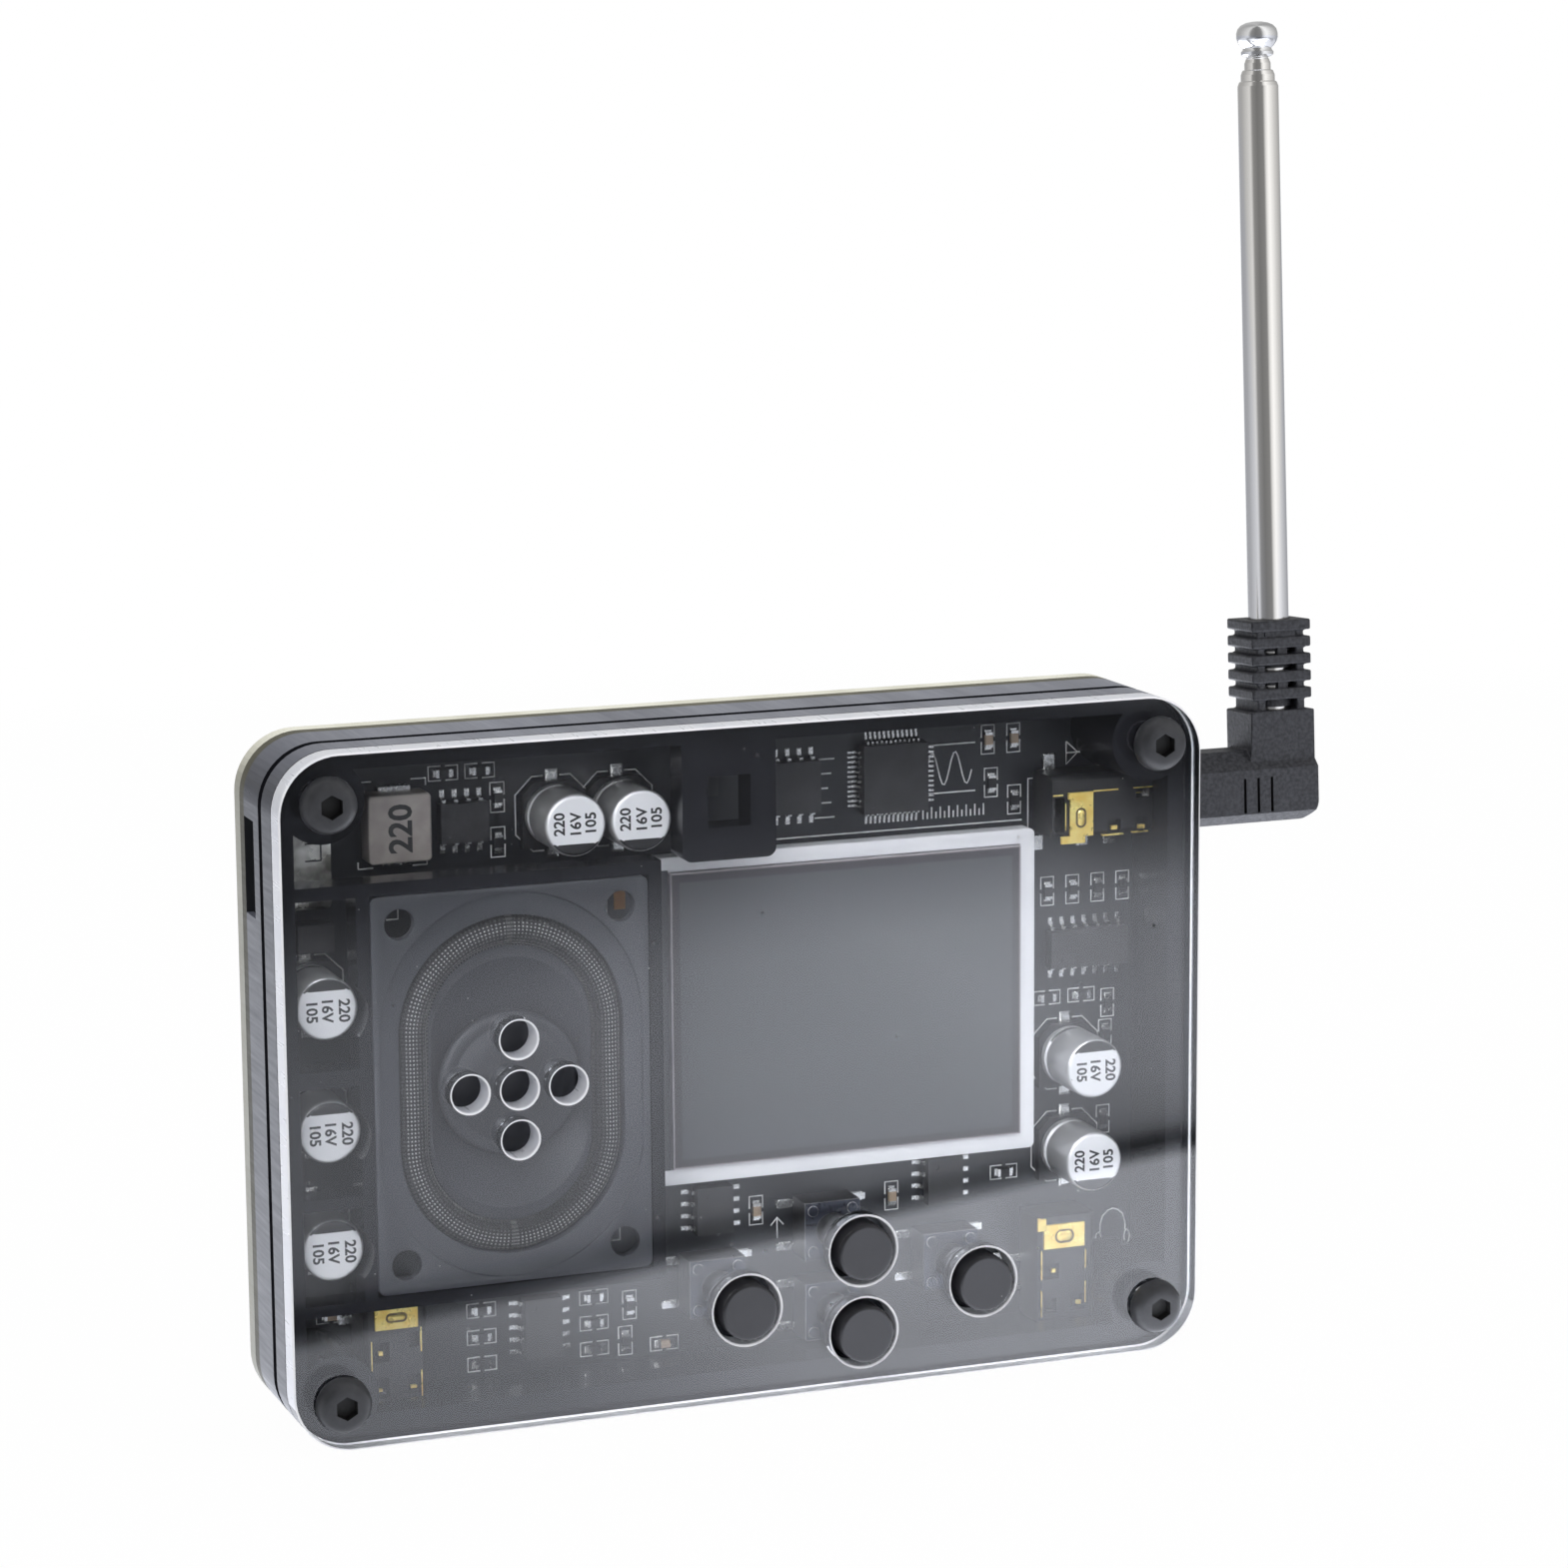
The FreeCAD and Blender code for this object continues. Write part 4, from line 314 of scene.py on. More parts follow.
def finish(name, colour, second=None, roughness=0.4, spread=0.1, grain=2000.0, depth=0.1,
           tone=80.0, stretch=(1, 1, 1), dust=0.0, **shader_values):
    """A material: a Principled shader fed by the worked surface group."""
    material, tree, shader = new_material(name)
    for label, value in shader_values.items():
        shader.inputs[label.replace("_", " ")].default_value = value
    worked = node(tree, "Group", {
        "Colour": (*colour, 1), "Second Colour": (*(second or colour), 1), "Tone Scale": tone,
        "Grain Scale": grain, "Grain Depth": depth, "Roughness": roughness,
        "Roughness Spread": spread, "Stretch": stretch, "Dust": dust},
        node_tree=surface_group, name="worked")
    for label in ("Colour", "Roughness", "Normal"):
        tree.links.new(worked.outputs[label], shader.inputs[label.replace("Colour", "Base Color")])
    return material


def wear(piece, *materials):
    """Give a new piece its materials, in order."""
    piece.data.materials.clear()
    for material in materials:
        piece.data.materials.append(material)


def coat(material, *node_names):
    """Put a material into the slots of nodes."""
    for node_name in node_names:
        for slot in nodes[node_name].material_slots:
            slot.material = material


def apply_modifier(piece, kind, **settings):
    """Change a piece by one modifier with its settings."""
    choose(piece)
    modifier = piece.modifiers.new("change", kind)
    for label, setting in settings.items():
        setattr(modifier, label, setting)
    bpy.ops.object.modifier_apply(modifier="change")


def smooth(piece, angle=30):
    """Shade a piece smooth up to an angle in degrees."""
    choose(piece)
    bpy.ops.object.shade_smooth_by_angle(angle=math.radians(angle))


def open_mesh():
    """Go into edit mode with the whole mesh selected."""
    bpy.ops.object.mode_set(mode="EDIT")
    bpy.ops.mesh.select_all(action="SELECT")


def close_mesh():
    """Go back to object mode."""
    bpy.ops.object.mode_set(mode="OBJECT")


def rounded_copy(name, node_name, radius, steps=2, sharp=30):
    """A finished copy of a node's form: doubles merged, flats cleaned, edges rounded."""
    piece = bpy.data.objects.new(name, nodes[node_name].data.copy())
    piece.data.name = name
    bpy.context.scene.collection.objects.link(piece)
    choose(piece)
    bpy.ops.mesh.customdata_custom_splitnormals_clear()
    open_mesh()
    bpy.ops.mesh.remove_doubles(threshold=0.001 * MM)
    bpy.ops.mesh.dissolve_limited(angle_limit=math.radians(0.5))
    close_mesh()
    if radius:
        apply_modifier(piece, "BEVEL", width=radius, segments=steps, limit_method="ANGLE",
                       angle_limit=math.radians(sharp), use_clamp_overlap=True)
    smooth(piece, sharp)
    return piece


clear_sheet, tree, shader = new_material("clear_sheet")
for label, value in (("Base Color", (0.97, 0.98, 0.99, 1)), ("Transmission Weight", 1),
                     ("IOR", 1.49)):
    shader.inputs[label].default_value = value
specks, lint = [node(tree, "Group", {"Scale": scale, "Size": size, "Share": share},
                     node_tree=dust_group).outputs["Mask"]
                for scale, size, share in ((260, 0.045, 0.35), (330, 0.022, 0.30))]
tree.links.new(math_node(tree, "MULTIPLY", specks, 0.5), shader.inputs["Roughness"])
white_lint = node(tree, "BsdfDiffuse", {"Color": (0.75, 0.76, 0.78, 1)})
dusty = node(tree, "MixShader", {"Fac": math_node(tree, "MULTIPLY", lint, 0.5),
                                 1: shader.outputs["BSDF"], 2: white_lint.outputs["BSDF"]})
tree.links.new(dusty.outputs["Shader"], tree.nodes["Material Output"].inputs["Surface"])

cut_clear = finish("cut_edge", (0.93, 0.94, 0.98), (0.84, 0.86, 0.92), roughness=0.3,
                   spread=0.2, grain=1800, depth=0.25, tone=300, stretch=(1, 0.08, 1),
                   Transmission_Weight=0.2, IOR=1.49)
tree = cut_clear.node_tree
# Seen from inside the sheet, the cut walls are dark-tinted glass: painted shade that dims what
# they mirror.
painted_shade_from_inside = node(tree, "BsdfGlass", {"IOR": 1.49, "Color": (0.32, 0.33, 0.35, 1),
                                       "Roughness": 0.04})
two_sided = node(tree, "MixShader", {"Fac": node(tree, "NewGeometry").outputs["Backfacing"],
                                     1: tree.nodes["Principled BSDF"].outputs["BSDF"],
                                     2: painted_shade_from_inside.outputs["BSDF"]})
tree.links.new(two_sided.outputs["Shader"], tree.nodes["Material Output"].inputs["Surface"])
# The chamfers are opaque white: partly the frosted cut, partly a painted highlight where light
# catches the edge.
frosted_rim_highlight = finish("cut_rim_frost_and_highlight", (0.95, 0.95, 0.97), (0.85, 0.86, 0.90), roughness=0.35, spread=0.2,
                   grain=2000, depth=0.3, tone=500)
# The bottom wall is an opaque light grey: painted light from the bright table below it.
underside_painted_light_grey = finish("cut_underside_painted_light", (0.30, 0.305, 0.32), (0.42, 0.425, 0.44), roughness=0.5,
                    spread=0.2, grain=1800, depth=0.25, tone=300, stretch=(0.3, 1, 1))

plate_gap, hair = 0.03 * MM, 0.01 * MM
button_rim, sound_rim, sound_pitch = 3.79, 2.05, 5
front_plate = rounded_copy("clear_front", "front_plate", 0)
plate_front, plate_back = [corner.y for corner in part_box("front_plate")]
for vertex in front_plate.data.vertices:
    if vertex.co.y > plate_back - hair:
        vertex.co.y -= plate_gap
apply_modifier(front_plate, "BEVEL", width=0.18 * MM, segments=2, use_clamp_overlap=False,
               angle_limit=math.radians(40))
smooth(front_plate)
# The front rims of the holes are widened so that their painted white highlight shows.
highlight_hole_rims = [(x, z, button_rim) for x, z in ((-1.5, 9.4), (11, 14.15), (11, 5.65), (24.1, 9.5))]
highlight_hole_rims += [(-24.8 + sound_pitch * x, 34.25 + sound_pitch * z, sound_rim)
              for x, z in ((0, 0), (1, 0), (-1, 0), (0, 1), (0, -1))]
for vertex in front_plate.data.vertices:
    if vertex.co.y > plate_front + hair:
        continue
    for x, z, rim in highlight_hole_rims:
        offset = Vector((vertex.co.x / MM - x, 0, vertex.co.z / MM - z))
        if offset.length < rim:
            offset = offset.normalized() * rim
            vertex.co.x, vertex.co.z = (x + offset.x) * MM, (z + offset.z) * MM
wear(front_plate, clear_sheet, cut_clear, frosted_rim_highlight, underside_painted_light_grey)
face, wall, rim, under = range(4)
front_plate.data.update()
for polygon in front_plate.data.polygons:
    slope = abs(polygon.normal.y)
    spot = polygon.center / MM
    rear_of_hole = abs(spot.x) < 42 and 4 < spot.z < 60 and spot.y > -7
    if slope > 0.99:
        polygon.material_index = face
    # Near the base, the bottom wall gets the painted light grey.
    elif slope < 0.1 and polygon.normal.z < -0.2 and spot.z < 6.2:
        polygon.material_index = under
    else:
        polygon.material_index = wall if slope < 0.1 or rear_of_hole else rim
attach(front_plate, "case")
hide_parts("front_plate")

# -------- black frames
# Three ring sheets of black acrylic, stacked behind the clear one. Their flats are polished,
# and the laser leaves fine streaks across their cut edges.


def streaked(material, colour, second, roughness, top_light_gain=1.0):
    """Give the cut edges of a sheet their own tone and streaks that run through its thickness."""
    corner_x, corner_z, middle_z, inner_radius = 42.1 * MM, 28.25 * MM, 34.25 * MM, 5.3 * MM
    tree = material.node_tree
    shader = tree.nodes["Principled BSDF"]
    worked = tree.nodes["worked"]
    cut = node(tree, "Group", {
        "Colour": (*colour, 1), "Second Colour": (*second, 1), "Tone Scale": 120.0,
        "Grain Scale": 2600.0, "Grain Depth": 0.35, "Roughness": roughness,
        "Roughness Spread": 0.25, "Stretch": (1.0, 0.05, 1.0)}, node_tree=surface_group)
    normal = node(tree, "SeparateXYZ",
                  {0: node(tree, "NewGeometry").outputs["True Normal"]}).outputs
    spot = node(tree, "SeparateXYZ", {0: node(tree, "TexCoord").outputs["Object"]}).outputs
    from_middle = math_node(tree, "SUBTRACT", spot["Z"], middle_z)
    past = []
    for distance, corner in ((spot["X"], corner_x), (from_middle, corner_z)):
        beyond = math_node(tree, "SUBTRACT", math_node(tree, "ABSOLUTE", distance), corner)
        beyond = math_node(tree, "MAXIMUM", beyond, 0.0)
        past.append(math_node(tree, "MULTIPLY", beyond, beyond))
    # Painted shade: walls inside the outer outline, round the openings, keep the dark finish of
    # the flats rather than the paler cut edge.
    inner_wall_shade = math_node(tree, "LESS_THAN", math_node(tree, "ADD", *past), inner_radius ** 2)
    flat = math_node(tree, "GREATER_THAN", math_node(tree, "ABSOLUTE", normal["Y"]), 0.6)
    flat = math_node(tree, "MAXIMUM", flat, inner_wall_shade)
    # Painted light: cut edges that face up are made lighter than the sides and the bottom.
    painted_top_light = ramp_node(tree, normal["Z"], [(0.0, 0.55), (0.3, 0.6), (1.0, top_light_gain)])
    cut_tone = vector_node(tree, "MULTIPLY", cut.outputs["Colour"], painted_top_light)
    for label, kind, edge_value, socket in (
            ("Colour", "RGBA", cut_tone, "Base Color"),
            ("Roughness", "FLOAT", cut.outputs["Roughness"], "Roughness"),
            ("Normal", "VECTOR", cut.outputs["Normal"], "Normal")):
        mix = node(tree, "Mix", {"Factor": flat, "A": edge_value, "B": worked.outputs[label]},
                   data_type=kind)
        tree.links.new(mix.outputs["Result"], shader.inputs[socket])
    return material


black_sheet = streaked(
    finish("black_sheet", (0.010, 0.0105, 0.013), (0.013, 0.0135, 0.017), roughness=0.2,
           spread=0.12, grain=900, depth=0.02, tone=60, dust=0.35, Specular_IOR_Level=0.2),
    (0.050, 0.053, 0.066), (0.085, 0.09, 0.108), 0.34, top_light_gain=2.4)
coat(black_sheet, "front_frame", "middle_sheet", "rear_frame")

# -------- back plate and circuit board
# The rear sheet is smoked acrylic with a pale cut edge. The board is cream glass fibre under a
# black solder mask, and lies between the rear frame and the rear sheet.

smoked_sheet = streaked(
    finish("smoked_sheet", (0.03, 0.03, 0.032), (0.036, 0.036, 0.038), roughness=0.2,
           spread=0.1, grain=900, depth=0.02, dust=0.4),
    (0.78, 0.77, 0.66), (0.62, 0.61, 0.50), 0.5, top_light_gain=1.2)
coat(smoked_sheet, "back_plate")

board_mask = streaked(
    finish("board_mask", (0.012, 0.013, 0.016), (0.018, 0.020, 0.024), roughness=0.34,
           spread=0.12, grain=2600, depth=0.05, tone=180, dust=0.2),
    (0.10, 0.095, 0.065), (0.16, 0.15, 0.10), 0.6, top_light_gain=0.8)
coat(board_mask, "main_board")

# -------- screws and nuts
# Black oxide steel, rolled and headed: four button heads with a hex socket, and plain hex nuts
# on the thread behind that pull the stack of sheets together.


def spun(name, profile, centre, axis="Y", steps=48, closed=False):
    """A turned piece: its half profile of (radius, height) points is spun round its axis."""
    along = Vector((0, 1, 0)) if axis == "Y" else Vector((0, 0, 1))
    out = Vector((1, 0, 0))
    piece = start(name, bpy.ops.mesh.primitive_circle_add, vertices=max(3, len(profile)),
                  radius=MM, location=centre)
    for vertex, (radius, height) in zip(piece.data.vertices, profile):
        vertex.co = Vector(centre) + out * radius * MM + along * height * MM
    open_mesh()
    mesh = bmesh.from_edit_mesh(piece.data)
    if not closed:
        ends = {0, len(profile) - 1}
        for edge in [item for item in mesh.edges if {v.index for v in item.verts} == ends]:
            mesh.edges.remove(edge)
    bmesh.update_edit_mesh(piece.data)
    bpy.ops.mesh.select_all(action="SELECT")
    bpy.ops.mesh.spin(steps=steps, angle=2 * math.pi, center=centre, axis=along)
    bpy.ops.mesh.select_all(action="SELECT")
    bpy.ops.mesh.remove_doubles(threshold=0.001 * MM)
    bpy.ops.mesh.normals_make_consistent(inside=False)
    close_mesh()
    return piece


def arc(centre_radius, centre_height, radius, begin, end, count):
    """Points of a profile along an arc between two angles in degrees."""
    points = []
    for index in range(count):
        angle = math.radians(begin + (end - begin) * index / (count - 1))
        points.append((centre_radius + radius * math.cos(angle),
                       centre_height + radius * math.sin(angle)))
    return points


def merge(name, pieces):
    """Join like pieces into one."""
    choose(pieces[0])
    for piece in pieces:
        piece.select_set(True)
    bpy.ops.object.join()
    joined = bpy.context.object
    joined.name = name
    joined.data.name = name
    return joined


def front_centre(low, high):
    """The middle of the front of a box."""
    return Vector(((low.x + high.x) / 2, low.y, (low.z + high.z) / 2))


def solids_of(node_name):
    """The (lowest, highest) corners of each separate solid in a node, in a steady order."""
    mesh = bmesh.new()
    mesh.from_mesh(nodes[node_name].data)
    bmesh.ops.remove_doubles(mesh, verts=mesh.verts, dist=0.001 * MM)
    left = set(mesh.verts)
    found = []
    while left:
        stack = [left.pop()]
        island = list(stack)
        while stack:
            for edge in stack.pop().link_edges:
                for vertex in edge.verts:
                    if vertex in left:
                        left.remove(vertex)
                        stack.append(vertex)
                        island.append(vertex)
        found.append([Vector([limit(vertex.co[axis] for vertex in island) for axis in range(3)])
                      for limit in (min, max)])
    mesh.free()
    return sorted(found, key=lambda pair: (round(pair[0].x, 6), round(pair[0].z, 6)))


black_steel = finish("black_steel", (0.026, 0.027, 0.030), (0.040, 0.041, 0.045), roughness=0.42,
                     spread=0.2, grain=3500, depth=0.25, tone=500, Specular_IOR_Level=0.3)
# The hex socket is near black, darker than the head's steel: painted shade in the recess.
socket_painted_shade = finish("socket_painted_shade", (0.004, 0.004, 0.004), roughness=0.7, grain=3000)
crest_radius, root_radius, pitch, thread_end = 1.5, 1.28, 0.5, 19.6
screws = []
thread = []
thread_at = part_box("back_plate")[1].y / MM - plate_front / MM - 0.6
while thread_at < thread_end:
    thread += [(crest_radius, thread_at), (root_radius, thread_at + pitch / 2)]
    thread_at += pitch
for low, high in solids_of("case_screws"):
    centre = front_centre(low, high)
    centre.y = plate_front
    head = [(0, -1.68), (1.3, -1.68), (1.8, -1.63), (2.2, -1.5), (2.5, -1.22), (2.68, -0.85),
            (2.77, -0.42), (2.79, -0.12), (2.74, 0), (1.5, 0)]
    end = (high.y - plate_front) / MM
    screw = spun("screw", head + thread + [(1.1, end - 0.05), (0, end - 0.02)], centre)
    prism = start("prism", bpy.ops.mesh.primitive_cylinder_add, vertices=6, radius=1.2 * MM,
                  depth=2.2 * MM, location=centre + Vector((0, -1.75 * MM, 0)),
                  rotation=(math.pi / 2, 0, 0))
    wear(prism, socket_painted_shade)
    wear(screw, black_steel, socket_painted_shade)
    apply_modifier(screw, "BOOLEAN", object=prism, operation="DIFFERENCE", solver="EXACT",
                   material_mode="TRANSFER")
    bpy.data.objects.remove(prism)
    smooth(screw, 35)
    screws.append(screw)
screws = merge("button_head_screws", screws)
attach(screws, "case")
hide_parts("case_screws")
nuts = rounded_copy("hex_nuts", "case_nuts", 0.18 * MM)
wear(nuts, black_steel)
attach(nuts, "case")
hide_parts("case_nuts")

# -------- speaker basket
# A matt black moulding: a flange with four corner holes and a shallow oval step round the
# cone. The motor behind it is of pressed steel, sintered ferrite and copper wire.

speaker_plastic = finish("speaker_plastic", (0.040, 0.042, 0.050), (0.052, 0.054, 0.063),
                         roughness=0.62, spread=0.15, grain=1600, depth=0.25, tone=90, dust=0.25)
basket = rounded_copy("basket", "speaker_basket", 0.12 * MM, sharp=25)
wear(basket, speaker_plastic)
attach(basket, "case")
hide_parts("speaker_basket")
speaker_low, speaker_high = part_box("speaker_basket")
speaker = (speaker_low + speaker_high) / 2
steel = finish("zinc_steel", (0.55, 0.55, 0.54), roughness=0.35, spread=0.15, grain=1500,
               depth=0.1, Metallic=1)
coat(steel, "speaker_yoke", "speaker_pole_plate")
coat(finish("sintered_magnet", (0.09, 0.09, 0.09), (0.13, 0.13, 0.13), roughness=0.55,
            grain=2500, depth=0.5), "speaker_magnet")
coat(finish("coil_winding", (0.5, 0.24, 0.11), (0.6, 0.3, 0.15), roughness=0.35, grain=4000,
            depth=0.8, stretch=(0.05, 1, 0.05), Metallic=1), "voice_coil")

# -------- speaker surround
# A rolled rim of treated black knit: a half-round roll that follows the oval, with the knit's
# ribs across it and a glued lip at its inner edge. The ribs' tops carry a painted highlight and
# the crest of the roll is painted lit, with painted shade on its flanks.


def pick(piece, kind, test):
    """In edit mode, select only the vertices or faces that pass a test."""
    bpy.ops.mesh.select_mode(type=kind)
    bpy.ops.mesh.select_all(action="DESELECT")
    mesh = bmesh.from_edit_mesh(piece.data)
    for item in mesh.verts if kind == "VERT" else mesh.faces:
        item.select_set(test(item))
    bmesh.update_edit_mesh(piece.data)


def racetrack(name, centre, half_width, rise, steps=96):
    """A filled oval that faces the front: a disc with its halves moved apart; in edit mode."""
    piece = start(name, bpy.ops.mesh.primitive_circle_add, vertices=steps, radius=half_width,
                  fill_type="NGON", location=centre, rotation=(math.pi / 2, 0, 0))
    open_mesh()
    bpy.ops.transform.rotate(value=math.pi / steps, orient_axis="Y", center_override=centre)
    for side in (1, -1):
        pick(piece, "VERT", lambda vertex: (vertex.co.z - centre[2]) * side > 0)
        bpy.ops.transform.translate(value=(0, 0, side * rise))
    bpy.ops.mesh.select_mode(type="FACE")
    bpy.ops.mesh.select_all(action="SELECT")
    return piece


roll_low, roll_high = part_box("speaker_surround")
roll_half = (roll_high.x - roll_low.x) / 2
roll_rise = (roll_high.z - roll_low.z) / 2 - roll_half
roll_centre = Vector((speaker.x, roll_low.y + 1.15 * MM, speaker.z))
roll = racetrack("knit_surround", roll_centre, roll_half, roll_rise)
outline_steps = 14
band = 3.0 * MM
crest = 1.14 * MM
for index in range(outline_steps):
    first = math.pi * index / outline_steps
    last = math.pi * (index + 1) / outline_steps
    bpy.ops.mesh.inset(thickness=band / 2 * (math.cos(first) - math.cos(last)),
                       depth=crest * (math.sin(last) - math.sin(first)))
bpy.ops.mesh.inset(thickness=0.45 * MM, depth=0.05 * MM)
bpy.ops.mesh.delete(type="FACE")
close_mesh()
knit_map = roll.data.uv_layers.new(name="along_and_across")
for loop in roll.data.loops:
    spot = roll.data.vertices[loop.vertex_index].co - roll_centre
    beyond_side = max(abs(spot.z) - roll_rise, 0)
    reach_out = math.hypot(spot.x, beyond_side)
    angle = math.atan2(beyond_side, abs(spot.x)) if reach_out else 0
    along = min(abs(spot.z), roll_rise) + angle * (roll_half - band / 2)
    if spot.z < 0:
        along = -along
    if spot.x < 0:
        along += 60 * MM
    knit_map.data[loop.index].uv = (along / MM, (roll_half - reach_out) / MM)
smooth(roll, 60)
apply_modifier(roll, "SOLIDIFY", thickness=0.25 * MM, offset=-1)
rib_pitch, course_pitch = 0.40, 0.34
knit, tree, shader = new_material("treated_knit")
shader.inputs["Sheen Weight"].default_value = 0.25
shader.inputs["Roughness"].default_value = 0.75
along_map = node(tree, "UVMap", uv_map="along_and_across")
spot = node(tree, "SeparateXYZ", {0: along_map.outputs["UV"]}).outputs
waves = []
for distance, pitch in ((spot["X"], rib_pitch), (spot["Y"], course_pitch)):
    wave = math_node(tree, "SINE", math_node(tree, "MULTIPLY", distance, 2 * math.pi / pitch))
    waves.append(math_node(tree, "MULTIPLY_ADD", wave, 0.5, 0.5))
weave = math_node(tree, "MULTIPLY", *waves)
knit_bump = node(tree, "Bump", {"Distance": 0.12 * MM, "Strength": 0.8, "Height": weave})
# Painted highlight on the tops of the knit's ribs, painted shade in their hollows.
knit_highlight_and_shade = ramp_node(tree, weave, [(0.0, (0.004, 0.004, 0.005)), (0.45, (0.022, 0.022, 0.025)),
                                    (1.0, (0.70, 0.70, 0.71))])
# Across the roll: the crest painted lit, both flanks painted shade.
crest_light_and_shade = ramp_node(tree, math_node(tree, "MULTIPLY", spot["Y"], 1 / 3.4), [
    (0.0, 0.02), (0.12, 0.04), (0.24, 0.7), (0.40, 1.0), (0.55, 0.45), (0.66, 0.04), (0.86, 0.01),
    (0.9, 0.3), (1.0, 0.3)])
tree.links.new(knit_bump.outputs["Normal"], shader.inputs["Normal"])
tree.links.new(vector_node(tree, "MULTIPLY", knit_highlight_and_shade, crest_light_and_shade), shader.inputs["Base Color"])
wear(roll, knit)
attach(roll, "case")
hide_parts("speaker_surround")

# -------- cone and dust cap
# Pressed black pulp. The cap is a low dome with a flat skirt and a pressed ring, and it is
# glued to the cone over the coil.

pulp = finish("pressed_pulp", (0.024, 0.025, 0.031), (0.032, 0.033, 0.040), roughness=0.55,
              spread=0.15, grain=1200, depth=0.15, tone=120)
coat(pulp, "speaker_cone")
cap_centre = Vector((speaker.x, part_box("speaker_dust_cap")[1].y - 0.42 * MM, speaker.z))
cap_profile = [(0, -1.0), (2.4, -0.96), (4.2, -0.84), (5.3, -0.62), (5.75, -0.42), (5.95, -0.40),
               (6.25, -0.52), (6.75, -0.5), (7.1, -0.34), (7.22, 0.0), (7.22, 0.38), (6.9, 0.38),
               (6.9, 0.1), (5.9, 0.0), (0, -0.5)]
cap = spun("dust_cap", cap_profile, cap_centre, steps=72)
smooth(cap, 50)
wear(cap, pulp)
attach(cap, "case")
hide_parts("speaker_dust_cap")

# -------- display
# A white moulded tray, a dark polarised panel with a narrow inactive border, a driver chip on
# the glass ledge, and foam behind.

tray_white = finish("tray_white", (0.86, 0.86, 0.88), (0.80, 0.80, 0.83), roughness=0.5,
                    spread=0.1, grain=1500, depth=0.08)
tray = rounded_copy("white_tray", "display_tray", 0.1 * MM)
wear(tray, tray_white)
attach(tray, "case")
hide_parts("display_tray")

panel = finish("dark_panel", (0.09, 0.09, 0.10), (0.1, 0.1, 0.11), roughness=0.3,
               spread=0.06, grain=2500, depth=0.03, dust=0.3)
glass_low, glass_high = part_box("display_glass")
tree = panel.node_tree
spot = node(tree, "SeparateXYZ", {0: node(tree, "TexCoord").outputs["Object"]}).outputs
middle = (glass_low + glass_high) / 2
half = (glass_high - glass_low) / 2
from_side, from_end = [math_node(tree, "SUBTRACT", limit, math_node(
    tree, "ABSOLUTE", math_node(tree, "SUBTRACT", distance, centre)))
    for limit, distance, centre in ((half.x, spot["X"], middle.x), (half.z, spot["Z"], middle.z))]
from_edge = math_node(tree, "MULTIPLY", math_node(tree, "MINIMUM", from_side, from_end), 400)
# A pale line at the very edge of the glass is a painted highlight; within it lies the dark
# inactive border, then the panel's own grey.
edge_highlight_and_border = ramp_node(tree, from_edge, [
    (0.0, (0.45, 0.43, 0.46)), (0.05, (0.30, 0.27, 0.28)), (0.09, (0.06, 0.055, 0.06)),
    (0.36, (0.06, 0.058, 0.064)), (0.42, (0.088, 0.091, 0.098)), (1.0, (0.088, 0.091, 0.098))])
tree.links.new(edge_highlight_and_border, tree.nodes["Principled BSDF"].inputs["Base Color"])
coat(panel, "display_glass")


def block(name, low, high, bevel=0.0):
    """A box between two corners in millimetres, with its edges rounded off."""
    low, high = Vector(low) * MM, Vector(high) * MM
    piece = start(name, bpy.ops.mesh.primitive_cube_add, size=1, location=(low + high) / 2,
                  scale=high - low)
    if bevel:
        open_mesh()
        bpy.ops.mesh.bevel(offset=bevel * MM, segments=2, affect="EDGES")
        close_mesh()
    return piece


tray_low, tray_high = [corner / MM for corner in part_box("display_tray")]
ledge = block("ledge_film", (tray_low.x + 0.1, tray_low.y - 0.04, tray_low.z + 1.6),
              (glass_low.x / MM - 0.14, tray_low.y - 0.005, tray_high.z - 1.3))
wear(ledge, finish("ledge_film", (0.055, 0.057, 0.064), (0.065, 0.067, 0.074), roughness=0.45,
                   grain=1500, depth=0.1))
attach(ledge, "case")
flex = block("flex_tail", (tray_low.x + 0.75, tray_low.y - 0.1, 49.2),
             (tray_low.x + 1.95, tray_low.y - 0.045, 51.1), 0.02)
wear(flex, finish("amber_film", (0.42, 0.20, 0.05), (0.34, 0.15, 0.04), roughness=0.35,
                  grain=1500, tone=700))
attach(flex, "case")
chip_plastic = finish("moulded_epoxy", (0.030, 0.030, 0.032), (0.040, 0.040, 0.043),
                      roughness=0.5, spread=0.15, grain=3500, depth=0.3, tone=400)
coat(chip_plastic, "display_driver_chip")
coat(finish("foam", (0.03, 0.03, 0.03), roughness=0.9, grain=3000, depth=1.0), "display_foam_pad")

# -------- push switches and their caps
# Moulded bases with pressed steel covers and tinned legs that are soldered to the board, and
# tall, moulded satin black caps that are pushed on the plungers.


def mark_edges(piece, level):
    """Give the second material to the rounded edges, which face along none of the axes."""
    for polygon in piece.data.polygons:
        polygon.material_index = 0 if max(map(abs, polygon.normal)) > level else 1


